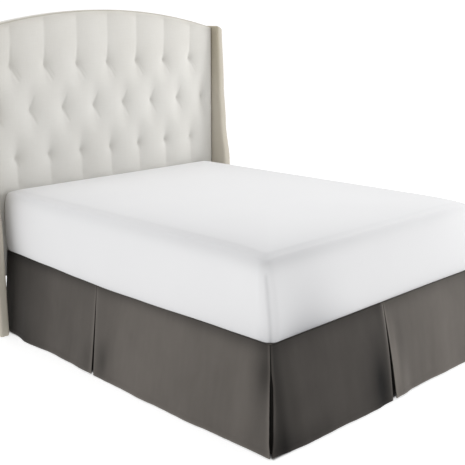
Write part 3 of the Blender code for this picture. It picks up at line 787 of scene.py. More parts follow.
def drop_painted_light(nap, edges, along, behind, share):
    """The painted light and shade at a place on a drop: 1 is the usual, and painted highlights make folds
    paler.
    """
    rows, patch_rows, deck_edge_shade, highlight_strength = nap
    value = blend(rows, along, "along", "nap")
    for patch in patch_rows:
        away = ((along - patch.along) / patch.width) ** 2 + ((share - patch.share) / patch.height) ** 2
        value += patch.change * math.exp(-away)
    # Cloth behind the front gets painted shade
    if behind:
        return BEHIND_PAINTED_SHADE * max(0.2, value)
    before, after, corners = edges
    scale = max(0.25, value)
    # Painted highlights along the pleat's two folds and the corner folds
    if along <= before + CLOTH:
        value += scale * highlight_strength[0] * fold_highlight(BEFORE_PLEAT, before - along, share)
    if along >= after - CLOTH:
        value += scale * highlight_strength[1] * fold_highlight(AFTER_PLEAT, along - after, share)
    value += scale * max(fold_highlight(AT_CORNER, along - corner, share) for corner in corners)
    # A fine pale line along the hem's turned edge
    value *= 1 + HEM_EDGE_PALENESS * math.exp(-((1 - share) / 0.012) ** 2)
    # Painted shade under the deck's edge
    return max(0.05, value * (1 - deck_edge_shade * math.exp(-(share / 0.09) ** 2)))


def make_drop(name, section, hem, nap, where, turn_round, settings):
    """A drop on one edge of the deck, walked so that its outer face lies to the right."""
    pleat, front, tones = nap

    def ordered(share):
        line = section(share, settings.wave)
        return line[::-1] if turn_round else line

    lines = {share: ordered(share) for share in row_shares()}
    hem_line = lines[1.0]
    folds, fronts = {}, {}
    for share, line in lines.items():
        ends = min(along for along, out in line), max(along for along, out in line)
        fronts[share] = front(share, settings.wave)
        before, after, _ = pleat_points(pleat, fronts[share], share)
        folds[share] = (before, after, [end for end in ends if end < HALF_LENGTH])

    def painted_light_at(i, share):
        along, out = lines[share][i]
        behind = fronts[share](along) - out > LAYER_PITCH / 2
        return drop_painted_light(tones, folds[share], along, behind, share)

    return hang_cloth(name, lambda share: [where(along, out) for along, out in ordered(share)],
                      lambda i: blend(hem, hem_line[i][0], "along", "lift"), painted_light_at, settings)


def make_insert(name, side, settings):
    def plan(share):
        line = [(-side * x, y) for x, y in insert_section(share)]
        return line if side < 0 else line[::-1]

    # The corner insert gets painted shade all over
    return hang_cloth(name, plan, lambda i: SIDE_HEM[0].lift, lambda i, share: INSERT_PAINTED_SHADE, settings)


def stitched(name, path, settings):
    thread = finish("sewing_thread", sewing_thread, settings)
    row = along_paths(name, [path], False, stitch_tree, thread, Pitch=settings.stitch_pitch,
                      Length=settings.stitch_length, Radius=settings.thread_radius)
    return on_root(row, "skirt_cloth")


class BEDSKIRT_OT_drops(bpy.types.Operator):
    """Hangs the two side drops and the foot drop, with their hem stitches"""
    bl_idname = "bedskirt.drops"
    bl_label = "Drops"

    def execute(self, context):
        settings = context.scene.bed_skirt
        kinds = (
            ("left", side_section, SIDE_HEM, (SIDE_PLEAT, side_front, SIDE_TONES),
             lambda along, out: (-HALF_WIDTH - out, -HALF_LENGTH + along), True, (0.48, 2.62)),
            ("right", side_section, SIDE_HEM, (SIDE_PLEAT, side_front, SIDE_TONES),
             lambda along, out: (HALF_WIDTH + out, -HALF_LENGTH + along), False, (0.48, 2.62)),
            ("foot", foot_section, FOOT_HEM, (FOOT_PLEAT, foot_front, FOOT_TONES),
             lambda along, out: (along, -HALF_LENGTH - out), False, (0.48, 2.25)),
        )
        for place, section, hem, nap, where, turn_round, flat in kinds:
            cloth, path = make_drop(f"drop_{place}", section, hem, nap, where, turn_round, settings)
            on_root(cloth, "skirt_cloth", f"skirt_drop_{place}")
            row = stitched(f"hem_stitches_{place}", path, settings)
        return {"FINISHED"}


class BEDSKIRT_OT_inserts(bpy.types.Operator):
    """Hangs the underlay behind each open foot corner, with its hem stitches"""
    bl_idname = "bedskirt.inserts"
    bl_label = "Corner inserts"

    def execute(self, context):
        settings = context.scene.bed_skirt
        for side, place in ((-1, "left"), (1, "right")):
            cloth, path = make_insert(f"insert_{place}", side, settings)
            on_root(cloth, "skirt_cloth", f"corner_insert_{place}")
            row = stitched(f"insert_stitches_{place}", path, settings)
        return {"FINISHED"}


class BEDSKIRT_OT_deck(bpy.types.Operator):
    """Lays the flat deck that is held between mattress and box spring"""
    bl_idname = "bedskirt.deck"
    bl_label = "Deck"

    def execute(self, context):
        settings = context.scene.bed_skirt
        low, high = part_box("skirt_deck")
        across, along = DECK_GRID
        half = CLOTH / 2
        points = [
            (x, y - BED_SHIFT_Y, DECK_HEIGHT - half)
            for y in spaced(low.y + half, high.y, along) for x in spaced(low.x + half, high.x - half, across)
        ]
        deck = new_piece("deck_cloth", points, grid_faces(along + 1, across + 1),
                         finish("brushed_microfibre", microfibre, settings))
        marked(deck, "nap", [DECK_NAP] * len(points))
        thickened(deck, thickness=CLOTH)
        on_root(deck, "skirt_cloth", "skirt_deck")
        return {"FINISHED"}


# The bedding

MATTRESS_HALF_WIDTH = 0.760
MATTRESS_HALF_LENGTH = 1.009
MATTRESS_CENTRE_Y = -0.007
MATTRESS_CORNER = 0.040
MATTRESS_BOTTOM = 0.4588
MATTRESS_TOP = 0.800
MATTRESS_FOOT_RISE = 0.020
MATTRESS_CROWN = 0.014
# The side that the photo doesn't show faces the studio's strong lamp, so painted shade makes its cloth a
# little darker
FAR_SIDE_PAINTED_SHADE = 0.18
# Each foot corner leans in from the end, stands out at the side and sinks, within this reach
CORNER_SLACK_REACH = 0.16
CORNER_SINK = 0.010
CORNER_LEAN = 0.020
CORNER_BULGE = 0.012
SHEET_CLOTH = 0.0012
SEAM_DEPTH = 0.0014
DIMPLE_DEPTH = 0.004
# Heights that the sheet's painted shade starts from: its shoulder, its lip drawn in and hanging, and
# where a corner's seam fades out
SHOULDER_HEIGHT = 0.790
DRAWN_LIP_HEIGHT = 0.459
HANGING_LIP_HEIGHT = 0.4462
SEAM_FADES = (0.72, 0.75)
# The sheet's middle surface in section: how far it stands outside the mattress's plain side,
# and its height. It runs from the tuck, round the lower lip, up the side and over the shoulder.
# The lip either hangs past the deck's edge or is drawn in under the mattress.
TUCK_SECTION = ((-0.090, 0.4579), (-0.050, 0.4579), (-0.020, 0.4579))
HANGING_LIP = (
    (0.0000, 0.4579), (0.0060, 0.4568), (0.0082, 0.4505), (0.0118, 0.4462),
    (0.0150, 0.4495), (0.0164, 0.4600), (0.0178, 0.4800), (0.0188, 0.5100),
)
DRAWN_LIP = (
    (-0.0060, 0.4579), (0.0000, 0.4592), (0.0050, 0.4630), (0.0090, 0.4690),
    (0.0120, 0.4765), (0.0140, 0.4850), (0.0160, 0.5000), (0.0178, 0.5250),
)
SIDE_SECTION = (
    (0.0195, 0.5800), (0.0187, 0.6300), (0.0168, 0.6800), (0.0138, 0.7200), (0.0098, 0.7500),
    (0.0034, 0.7720), (-0.0055, 0.7865), (-0.0150, 0.7930), (-0.0260, 0.7952), (-0.0380, 0.7978),
    (-0.0500, 0.8015),
)
# Round the bed, how far the lip hangs: 0 drawn in, 1 hanging
LipRow = namedtuple("LipRow", "along hang")
SIDE_LIP = table(LipRow, (
    (-1.00, 0.22), (-0.75, 0.40), (-0.20, 0.85), (0.05, 1.00), (0.30, 0.85), (0.60, 0.55), (1.00, 0.10),
))
FOOT_LIP = table(LipRow, ((-0.76, 0.22), (-0.60, 0.10), (0.30, 0.0), (0.76, 0.22)))


def round_outline(half_x, half_y, radius, side_steps, corner_steps):
    """A rounded rectangle, anticlockwise, evenly divided; each corner has its own steps."""
    outline = []
    for quarter, (sx, sy) in enumerate(((1, 1), (-1, 1), (-1, -1), (1, -1))):
        centre = sx * (half_x - radius), sy * (half_y - radius)
        arc = [
            (centre[0] + radius * math.cos(a), centre[1] + radius * math.sin(a))
            for a in spaced(quarter * math.pi / 2, (quarter + 1) * math.pi / 2, corner_steps)
        ]
        tx, ty = ((-1, 1), (-1, -1), (1, -1), (1, 1))[quarter]
        end = tx * half_x, ty * (half_y - radius)
        if quarter % 2 == 0:
            end = tx * (half_x - radius), ty * half_y
        outline += arc
        outline += [(mix(arc[-1][0], end[0], t), mix(arc[-1][1], end[1], t))
                    for t in spaced(0, 1, side_steps[quarter % 2])[1:-1]]
    return outline


def bed_outline(inset):
    """The mattress's outline, drawn in by inset; its corners never shrink to a point."""
    half_x, half_y = MATTRESS_HALF_WIDTH - inset, MATTRESS_HALF_LENGTH - inset
    radius = min(max(MATTRESS_CORNER - inset, 0.02), 0.9 * half_x)
    return round_outline(half_x, half_y, radius, (50, 66), 22)


def corner_share(x, y):
    """How near a point of the sheet's outline is to the middle of a corner, from 0 to 1."""
    dx = MATTRESS_HALF_WIDTH - MATTRESS_CORNER
    dy = MATTRESS_HALF_LENGTH - MATTRESS_CORNER
    ax, ay = abs(x) - dx, abs(y) - dy
    if ax <= 0 or ay <= 0:
        return 0.0
    return 1 - abs(math.atan2(ay, ax) - math.pi / 4) / (math.pi / 4)


def bed_place(x, y, height):
    """A point of the mattress: it stands fuller towards the foot, where its upper corners sink."""
    share = max(0.0, (height - MATTRESS_BOTTOM) / (MATTRESS_TOP - MATTRESS_BOTTOM))
    towards_foot = 0.5 - y / (2 * MATTRESS_HALF_LENGTH)
    away = math.hypot(MATTRESS_HALF_WIDTH - abs(x), MATTRESS_HALF_LENGTH + y)
    slack = math.exp(-(away / CORNER_SLACK_REACH) ** 2)
    lean = slack * smooth(height, 0.47, 0.80)
    rise = MATTRESS_FOOT_RISE * share * towards_foot - CORNER_SINK * slack * smooth(height, 0.66, 0.79)
    x += math.copysign(CORNER_BULGE * lean, x)
    return x, y + MATTRESS_CENTRE_Y + CORNER_LEAN * lean, height + rise


def lip_hang(x, y):
    """How far the sheet's lower lip hangs at a place on the outline."""
    on_side = corner_share(x, y) > 0 and abs(x) / MATTRESS_HALF_WIDTH or abs(x) > MATTRESS_HALF_WIDTH - 0.001
    if on_side:
        return blend(SIDE_LIP, y, "along", "hang")
    return blend(FOOT_LIP, x, "along", "hang") if y < 0 else 0.1


TOP_INSETS = (0.0625, 0.075, 0.09, 0.11, 0.14, 0.18, 0.23, 0.29, 0.36, 0.43, 0.50, 0.56, 0.62, 0.67, 0.70,
              0.72, 0.74, 0.753)


def top_height(inset):
    """The height of the top at a distance in from the mattress's side."""
    share = min(1.0, (inset - 0.05) / 0.69)
    return SIDE_SECTION[-1][1] + 0.006 * (1 - math.exp(-(inset - 0.05) / 0.03)) + MATTRESS_CROWN * math.sin(
        math.pi / 2 * share)


def bed_sections(draw_in):
    """The section with a drawn-in lip and with a hanging one, each as (out, height) pairs."""
    tuck = smooth_line(TUCK_SECTION, 3)[:-1]
    lines = [smooth_line(TUCK_SECTION[-1:] + lip + SIDE_SECTION, 3) for lip in (DRAWN_LIP, HANGING_LIP)]
    return [[(out - draw_in, height) for out, height in tuck + line] for line in lines]


def bed_loops(sections, swell, seam_depth):
    """Points of level loops round the mattress and over its top, and how much painted shade each has."""
    outline = bed_outline(0.0)
    corners = [corner_share(x, y) for x, y in outline]
    hangs = [lip_hang(x, y) for x, y in outline]
    drawn, hanging = sections
    points, folds = [], []
    for (out_a, z_a), (out_b, z_b) in zip(drawn, hanging):
        inner = bed_outline(-out_a) if out_a < -0.02 and z_a > MATTRESS_BOTTOM + 0.1 else None
        for i, (x, y) in enumerate(outline):
            hang = hangs[i]
            out, height = mix(out_a, out_b, hang), mix(z_a, z_b, hang)
            rise = clamp((height - 0.46) / 0.05)
            out -= seam_depth * corner_seam(corners[i], height, 0.12) * rise
            centre_x = max(abs(x) - MATTRESS_HALF_WIDTH + MATTRESS_CORNER, 0.0)
            centre_y = max(abs(y) - MATTRESS_HALF_LENGTH + MATTRESS_CORNER, 0.0)
            reach = math.hypot(centre_x, centre_y)
            nx, ny = math.copysign(centre_x / reach, x), math.copysign(centre_y / reach, y)
            px, py = inner[i] if inner else (x + nx * out, y + ny * out)
            pinch = corner_pinch(px, py, height)
            points.append(bed_place(px, py, height + swell - DIMPLE_DEPTH * pinch))
            # Painted shade on the side, and more in the dimple pulled in at each corner
            folds.append(side_painted_shade(x, y, out, height, hang, corners[i]) + 0.08 * pinch)
    for inset in TOP_INSETS:
        for x, y in bed_outline(inset):
            pinch = corner_pinch(x, y, top_height(inset))
            points.append(bed_place(x, y, top_height(inset) + swell - DIMPLE_DEPTH * pinch))
            # Painted shade on the top, and more in the dimple pulled in at each corner
            folds.append(top_painted_shade(x, y, inset) + 0.13 * pinch)
    return points, folds, len(drawn) + len(TOP_INSETS), len(outline)


def corner_seam(corner, height, reach):
    """How near a place is to a corner's seam, which ends below the shoulder, from 0 to 1."""
    if corner <= 0:
        return 0.0
    return math.exp(-((1 - corner) / reach) ** 2) * (1 - smooth(height, *SEAM_FADES))


def corner_pinch(x, y, height):
    """How far the cloth is pulled in over a corner's shoulder, from 0 to 1."""
    away = math.hypot(abs(x) - MATTRESS_HALF_WIDTH + 0.022, abs(y) - MATTRESS_HALF_LENGTH + 0.022)
    return math.exp(-((away / 0.034) ** 2) - ((height - 0.795) / 0.024) ** 2)


def near_corner(x, y, reach):
    """How near a place is to the foot's left corner, where the sheet's painted shade is strongest."""
    away = math.hypot(x + MATTRESS_HALF_WIDTH, y + MATTRESS_HALF_LENGTH)
    return math.exp(-((away / reach) ** 2))


def shoulder_painted_shade(x, y):
    """How strong the painted shade is along the sheet's shoulder: most at the left foot corner."""
    on_foot = MATTRESS_HALF_LENGTH + y < MATTRESS_HALF_WIDTH - abs(x)
    if on_foot:
        return mix(0.30, 0.95, near_corner(x, y, 0.55))
    return mix(0.55, 1.0, near_corner(x, y, 0.80))


def side_painted_shade(x, y, out, height, hang, corner):
    """How much painted shade the cloth has on the side: under the shoulder, along the seam and at the lip."""
    above = max(0.0, height - mix(DRAWN_LIP_HEIGHT, HANGING_LIP_HEIGHT, hang))
    below = max(0.0, SHOULDER_HEIGHT - height)
    value = 0.20 * shoulder_painted_shade(x, y) * math.exp(-(below / 0.042) ** 2)
    value += 0.18 * corner_seam(corner, height, 0.17)
    # Painted shade on the far side, below the shoulder
    far = smooth(x, MATTRESS_HALF_WIDTH - MATTRESS_CORNER, MATTRESS_HALF_WIDTH)
    value += FAR_SIDE_PAINTED_SHADE * far * smooth(below, 0.0, 0.06)
    on_side = y > -MATTRESS_HALF_LENGTH + 0.06
    if on_side:
        value += 0.15 * near_corner(x, y, 0.40) * math.exp(-above / 0.090)
    value += 0.24 * math.exp(-above / 0.010) + 0.07 * math.exp(-above / 0.050)
    if not on_side:
        near = math.exp(-((x + 0.56) / 0.22) ** 2)
        value += (0.12 + 0.50 * near) * math.exp(-above / (0.022 + 0.085 * near))
    return value


def top_painted_shade(x, y, inset):
    """How much painted shade the cloth has on the top, fading inwards from the shoulder."""
    return shoulder_painted_shade(x, y) * (
        0.12 * math.exp(-max(0.0, inset - 0.02) / 0.07) + 0.08 * math.exp(-(inset / 0.33) ** 2))


def loop_faces(levels, around, capped_low):
    """The faces between closed loops of points, with a cap on the top loop and maybe the lowest."""
    steps = [(i, (i + 1) % around) for i in range(around)]
    faces = [(k * around + i, k * around + j, (k + 1) * around + j, (k + 1) * around + i)
             for k in range(levels - 1) for i, j in steps]
    faces.append(tuple((levels - 1) * around + i for i in range(around)))
    if capped_low:
        faces.append(tuple(range(around))[::-1])
    return faces


class BEDSKIRT_OT_sheet(bpy.types.Operator):
    """Fits the white sheet over the mattress and tucks it in"""
    bl_idname = "bedskirt.sheet"
    bl_label = "Fitted sheet"

    def execute(self, context):
        settings = context.scene.bedding
        points, folds, levels, around = bed_loops(bed_sections(0.0), 0.0, SEAM_DEPTH)
        sheet = new_piece("fitted_sheet_cloth", points, loop_faces(levels, around, False),
                          finish("cotton_sheeting", cotton_sheeting, settings))
        marked(sheet, "fold", folds)
        thickened(sheet, thickness=SHEET_CLOTH)
        on_root(sheet, "sheet_cloth", "fitted_sheet")
        return {"FINISHED"}


class BEDSKIRT_OT_mattress(bpy.types.Operator):
    """Makes the filled mattress inside the sheet"""
    bl_idname = "bedskirt.mattress"
    bl_label = "Mattress"

    def execute(self, context):
        settings = context.scene.bedding
        inside, lift = 0.0024, 0.0016
        start = 1 + max(i for i, (out, height) in enumerate(bed_sections(inside)[1]) if height < 0.47)
        side = bed_sections(inside)[0][start:]
        foot = [(-0.030, MATTRESS_BOTTOM), (-0.012, MATTRESS_BOTTOM), (-0.002, MATTRESS_BOTTOM + 0.006)]
        section = [(out, height + lift) for out, height in foot] + side
        points, folds, levels, around = bed_loops((section, section), -lift, 0.0)
        body = new_piece("mattress_body", points, loop_faces(levels, around, True),
                         finish("striped_ticking", striped_ticking, settings))
        on_root(body, "ticking", "mattress")
        return {"FINISHED"}


class BEDSKIRT_OT_box_spring(bpy.types.Operator):
    """Makes the upholstered box spring under the deck, with its corded edges"""
    bl_idname = "bedskirt.box_spring"
    bl_label = "Box spring"

    def execute(self, context):
        settings = context.scene.bedding
        low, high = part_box("box_spring")
        half_x, half_y = (high.x - low.x) / 2, (high.y - low.y) / 2
        middle_y = (high.y + low.y) / 2 - BED_SHIFT_Y
        cord = settings.piping
        section = smooth_line((
            (0.030, low.z), (0.012, low.z), (0.0035, low.z + 0.004), (0.0025, low.z + 0.014),
            (0.0005, low.z + 0.060), (0.0, (low.z + high.z) / 2), (0.0005, high.z - 0.060),
            (0.0025, high.z - 0.014), (0.0035, high.z - 0.004), (0.012, high.z), (0.030, high.z)), 3)
        points, paths = [], []
        for inset, height in section:
            line = round_outline(half_x - inset, half_y - inset, 0.035, (24, 32), 8)
            points += [(x, y + middle_y, min(high.z, max(low.z, height))) for x, y in line]
        for height in (low.z + 0.0095, high.z - 0.0095):
            line = round_outline(half_x - cord * 0.9, half_y - cord * 0.9, 0.035, (24, 32), 8)
            paths.append([(x, y + middle_y, height) for x, y in line])
        body = new_piece("box_spring_body", points, loop_faces(len(section), len(line), True),
                         finish("striped_ticking", striped_ticking, settings))
        on_root(body, "ticking", "box_spring")
        edge = along_paths("box_spring_cord", paths, True, cord_tree,
                           finish("striped_ticking", striped_ticking, settings), Radius=cord)
        on_root(edge, "ticking")
        return {"FINISHED"}


# The headboard

HEADBOARD_HALF_WIDTH = 0.8440
HEADBOARD_DEPTH = 0.090
HEADBOARD_BOTTOM = 0.300
HEADBOARD_SIDE_TOP = 1.666
HEADBOARD_RISE = 0.108
HEADBOARD_FACE = HALF_LENGTH + FIT_GAP
HEADBOARD_BACK = HEADBOARD_FACE + HEADBOARD_DEPTH
PADDING_ROUND = 0.018
TUFT_PITCH = 0.218
TUFT_ROWS = ((1.473, 0.0), (1.226, 0.5), (0.963, 0.0))
# The padding is plain below this height, where the mattress hides it, and its mesh is coarse
LOWEST_SEEN = 0.76
COARSE_HEIGHTS = (0.0, 0.004, 0.009, 0.018, 0.06, 0.15, 0.25, 0.35, 0.42)
FINE_HEIGHTS = (0.745, 1.70)
# The mesh is level up to here and follows the arch above
LEVEL_TO = 1.42
COLUMN_PITCH = 0.0054
ROW_PITCH = 0.0056


def arch_top(x):
    radius = (HEADBOARD_HALF_WIDTH ** 2 + HEADBOARD_RISE ** 2) / (2 * HEADBOARD_RISE)
    return HEADBOARD_SIDE_TOP + HEADBOARD_RISE - (radius - math.sqrt(radius * radius - x * x))


def tuft_places():
    rows = []
    for height, offset in TUFT_ROWS:
        count = 4 if offset else 3
        start = -(count - offset)
        rows.append([((start + i) * TUFT_PITCH, height) for i in range(int(2 * (count - offset)) + 1)])
    return rows


def crease_lines():
    """Short wrinkles that the tufts pull in the cloth: both ends, depth and width of each."""
    top, middle, low = tuft_places()
    lines = []
    for i, (x, z) in enumerate(top):
        pull = max(0.35, 1 - 0.13 * i)
        lines.append(((x + 0.004, z - 0.014), (x + 0.042, z - 0.095), 0.0062 * pull, 0.0078))
        lines.append(((x + 0.022, z - 0.020), (x + 0.054, z - 0.075), 0.0034 * pull, 0.0065))
        lines.append(((x - 0.002, z + 0.014), (x - 0.004, z + 0.110), 0.0040 * pull, 0.0090))
    for i, (x, z) in enumerate(middle):
        pull = max(0.35, 1 - 0.10 * i)
        lines.append(((x + 0.004, z + 0.012), (x + 0.022, z + 0.085), 0.0048 * pull, 0.0075))
        lines.append(((x + 0.004, z - 0.012), (x + 0.032, z - 0.090), 0.0050 * pull, 0.0080))
    for i, (x, z) in enumerate(low):
        pull = max(0.35, 1 - 0.12 * i)
        lines.append(((x + 0.004, z - 0.012), (x + 0.012, z - 0.060), 0.0020 * pull, 0.0060))
    return lines


def line_distance(x, z, line):
    (ax, az), (bx, bz) = line[:2]
    dx, dz = bx - ax, bz - az
    t = clamp(((x - ax) * dx + (z - az) * dz) / (dx * dx + dz * dz))
    return math.hypot(x - ax - t * dx, z - az - t * dz), t


def arch_of(place):
    """A parabola over each whole step of place: 0 at the step's ends and 1 half way."""
    share = place - math.floor(place)
    return 4 * share * (1 - share)


def puff(x, z):
    """How full the padding is at a place: columns above and below, diamonds between the rows."""
    (top, _), (middle, _), (low, _) = TUFT_ROWS
    across = x / TUFT_PITCH
    column = arch_of(across)
    down = (top - z) / (top - middle) if z > middle else 1 + (middle - z) / (middle - low)
    if down <= 0 or down >= 2:
        return column
    rising, falling = (math.sin(math.pi * (across + turn * down / 2)) ** 2 for turn in (1, -1))
    diamond = 0.22 * rising * falling + 0.78 * (1 - (1 - rising) * (1 - falling))
    diamond = mix(diamond, arch_of(across + 0.5), 0.8 * math.exp(-((down - 1) / 0.30) ** 2))
    return mix(column, diamond, smooth(min(down, 2 - down), 0.0, 0.50))


def panel_depth(x, z, tufts, creases, settings):
    """How far the padded face lies behind its plain front at a place."""
    fade = clamp((z - LOWEST_SEEN) / 0.06)
    if fade <= 0:
        return 0.0
    near_tuft = min(math.hypot(x - tx, (z - tz) * 0.80) for tx, tz in tufts)
    depth = settings.tuft_depth * math.exp(-near_tuft / 0.030)
    plain = smooth(abs(x), 3.5 * TUFT_PITCH + 0.01, HEADBOARD_HALF_WIDTH)
    depth += settings.puff * (1 - puff(x, z)) * (1 - plain)
    for line in creases:
        if abs(line[0][0] - x) > 0.08 or abs(line[0][1] - z) > 0.13:
            continue
        distance, along = line_distance(x, z, line)
        if distance < 0.03:
            depth += line[2] * math.sin(math.pi * min(1.0, 0.25 + 0.75 * along)) * math.exp(
                -(distance / line[3]) ** 2)
    return fade * (depth - 0.004)


def uneven(start, end, fine, coarse, edge):
    """Places from start to end, close together within edge of both ends."""
    count = max(1, round((end - start - 2 * edge) / coarse))
    ends = spaced(0.0, edge, max(1, round(edge / fine)))
    return ([start + e for e in ends[:-1]] + spaced(start + edge, end - edge, count)
            + [end - e for e in ends[::-1][1:]])


class BEDSKIRT_OT_headboard(bpy.types.Operator):
    """Upholsters the arched, diamond-tufted panel"""
    bl_idname = "bedskirt.headboard"
    bl_label = "Headboard panel"

    def execute(self, context):
        settings = context.scene.headboard
        half, edge = HEADBOARD_HALF_WIDTH, PADDING_ROUND
        tufts = [place for row in tuft_places() for place in row]
        creases = crease_lines()
        columns = uneven(-half, half, 0.003, COLUMN_PITCH, edge)
        heights = list(COARSE_HEIGHTS)
        heights += [h - HEADBOARD_BOTTOM for h in uneven(*FINE_HEIGHTS, ROW_PITCH, ROW_PITCH, 0.02)]
        full = heights[-1] + edge + 0.05
        heights += [mix(heights[-1], full - edge, t) for t in spaced(0, 1, 8)[1:]]
        heights += [full - e for e in spaced(0.0, edge, 6)[::-1][1:]]
        bend_from = LEVEL_TO - HEADBOARD_BOTTOM
        points, shades = [], []
        for height in heights:
            for x in columns:
                top = arch_top(x) - HEADBOARD_BOTTOM
                up = height
                if height > bend_from:
                    up = bend_from + (height - bend_from) * (top - bend_from) / (full - bend_from)
                z = HEADBOARD_BOTTOM + up
                inset = min(half - abs(x), top - up, up)
                rounding = edge * round_over(max(0.0, 1 - inset / edge))
                plain = clamp((inset - 0.004) / 0.03)
                y = HEADBOARD_FACE + rounding + plain * panel_depth(x, z, tufts, creases, settings)
                points.append((x, y, z))
                # Painted shade: darker towards the top, more on the left; and darker near the top edge
                high = 0.09 * smooth(z, 1.15, 1.60) * (1 + 1.2 * smooth(-x, 0.45, 0.85))
                shades.append(high + 0.30 * math.exp(-(top - up) / 0.022))
        width, rows = len(columns), len(heights)
        faces = grid_faces(rows, width)
        rim = list(range(width))
        rim += [k * width + width - 1 for k in range(1, rows)]
        rim += [(rows - 1) * width + i for i in range(width - 2, -1, -1)]
        rim += [k * width for k in range(rows - 2, 0, -1)]
        around, last = len(rim), rim
        for inset, depth in ((0.0, 0.045), (0.0, HEADBOARD_DEPTH - 0.008), (0.0023, HEADBOARD_DEPTH - 0.0023),
                             (0.008, HEADBOARD_DEPTH), (0.05, HEADBOARD_DEPTH)):
            first = len(points)
            for index in rim:
                x, _, z = points[index]
                shrink_x, shrink_z = 1 - inset / half, 1 - inset / (full / 2)
                middle = HEADBOARD_BOTTOM + full / 2
                points.append((x * shrink_x, HEADBOARD_FACE + depth, middle + (z - middle) * shrink_z))
            loop = list(range(first, first + around))
            faces += [(last[i], loop[i], loop[(i + 1) % around], last[(i + 1) % around])
                      for i in range(around)]
            last = loop
        faces.append(tuple(last))
        cloth = finish("ivory_linen", linen, settings.weave_and_painted_shade, settings.panel, 0.0005)
        panel = new_piece("headboard_padding", points, faces, cloth)
        marked(panel, "shade", shades + [0.0] * (len(points) - len(shades)))
        turned_out(panel)
        panel.data.set_sharp_from_angle(angle=math.radians(75))
        on_root(panel, "headboard_cloth", "headboard_panel")
        inset = edge * 0.30
        arch = [(x, HEADBOARD_FACE + edge * 0.42, arch_top(x) - inset)
                for x in spaced(-half + inset, half - inset, 120)]
        cord = finish("welt_linen", linen, settings.weave_and_painted_shade, settings.edge, 0.0004)
        welt = along_paths("headboard_welt", [arch], False, cord_tree, cord, Radius=settings.welt)
        on_root(welt, "headboard_cloth")
        return {"FINISHED"}


WingRow = namedtuple("WingRow", "height forward")
WING_EDGE = table(WingRow, (
    (0.000, 0.128), (0.550, 0.130), (0.780, 0.119), (1.050, 0.081), (1.300, 0.062), (1.676, 0.044),
))
WING_THICKNESS = 0.056
WING_ROUND = 0.013
# How far a wing's top slopes down towards its outer side
WING_FALL = 0.020


class BEDSKIRT_OT_wings(bpy.types.Operator):
    """Upholsters the two side wings"""
    bl_idname = "bedskirt.wings"
    bl_label = "Wings"

    def execute(self, context):
        settings = context.scene.headboard
        top = WING_EDGE[-1].height
        heights = [0.0, 0.003, 0.012] + spaced(0.012, top - WING_ROUND, 56)[1:]
        heights += [top - WING_ROUND * (1 - math.sin(a)) for a in spaced(0.0, math.pi / 2, 6)[1:]]
        for side, place in ((-1, "left"), (1, "right")):
            inner = HEADBOARD_HALF_WIDTH + FIT_GAP
            points, shades = [], []
            for height in heights:
                shrink = 0.0
                if height > top - WING_ROUND:
                    shrink = WING_ROUND * round_over((height - (top - WING_ROUND)) / WING_ROUND)
                elif height < 0.012:
                    shrink = 0.004 * (1 - height / 0.012)
                front = HEADBOARD_FACE - blend(WING_EDGE, height, "height", "forward") + shrink
                half_x = WING_THICKNESS / 2 - shrink
                half_y = (HEADBOARD_BACK - shrink - front) / 2
                middle = (HEADBOARD_BACK - shrink + front) / 2
                line = round_outline(half_x, half_y, max(0.003, WING_ROUND - shrink), (4, 12), 6)
                for x, y in line:
                    soft = 0.0012 * noise.noise(Vector((x * 9 + side * 3, y * 9, height * 7)))
                    stay = 1 - soft / WING_THICKNESS
                    across = side * x / WING_THICKNESS + 0.5
                    fall = WING_FALL * across ** 2 * smooth(height, top - 0.08, top)
                    points.append((side * (inner + WING_THICKNESS / 2) + x * stay, y + middle, height - fall))
                    # Painted shade on each wing's inner side, stronger towards the top
                    inward = 1 - smooth(across, 0.15, 0.60)
                    shades.append(mix(0.08, 0.55, smooth(height, 1.05, 1.65)) * inward)
            cloth = finish("beige_linen", linen, settings.inside, settings.wing, 0.0005)
            wing = new_piece(f"wing_{place}_padding", points,
                             loop_faces(len(heights), len(line), True), cloth)
            marked(wing, "shade", shades)
            turned_out(wing)
            on_root(wing, "wing_cloth", f"wing_{place}")
        return {"FINISHED"}


class BEDSKIRT_OT_frame_finish(bpy.types.Operator):
    """Gives the steel frame and the posts their finish"""
    bl_idname = "bedskirt.frame_finish"
    bl_label = "Frame and posts"

    def execute(self, context):
        settings = context.scene.studio
        for name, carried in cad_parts.items():
            if name.startswith(("side_rail", "cross_bar", "leg_")):
                carried.data.materials.clear()
                carried.data.materials.append(finish("powder_coat", powder_coat, settings))
            elif name.startswith("headboard_post"):
                carried.data.materials.clear()
                carried.data.materials.append(finish("stained_wood", stained_wood, settings))
        return {"FINISHED"}


# The studio

FLOOR_REACH = 60.0
FLOOR_CELLS = 8
CAMERA_PLACE = (-3.135, -3.2010, 1.733)
CAMERA_YAW = -44.68
CAMERA_PITCH = 14.14
CAMERA_LENS = 66.29
# The studio is white to look at, and lights the bed less from beyond its foot and on the main
# light's side
AIR_WHITE = (1.05, 1.05, 1.05)
AIR_BRIGHT = (1.00, 1.00, 1.00)
AIR_DIM = (0.46, 0.46, 0.46)
# Each soft light: its place, what it points at, its size and its power in watts
SoftLight = namedtuple("SoftLight", "name place target size watts")
SOFT_LIGHTS = (
    SoftLight("overhead_light", (0.3, 0.4, 4.2), (0.0, 0.2, 0.4), 3.0, 36.0),
    SoftLight("left_light", (-4.2, -0.8, 1.9), (-0.7, -0.3, 0.5), 2.4, 9.0),
    SoftLight("right_light", (5.6, -1.9, 2.3), (0.0, 0.9, 1.0), 2.4, 190.0),
    SoftLight("front_light", (2.2, -4.6, 1.5), (0.3, -1.0, 0.5), 2.2, 22.0),
)


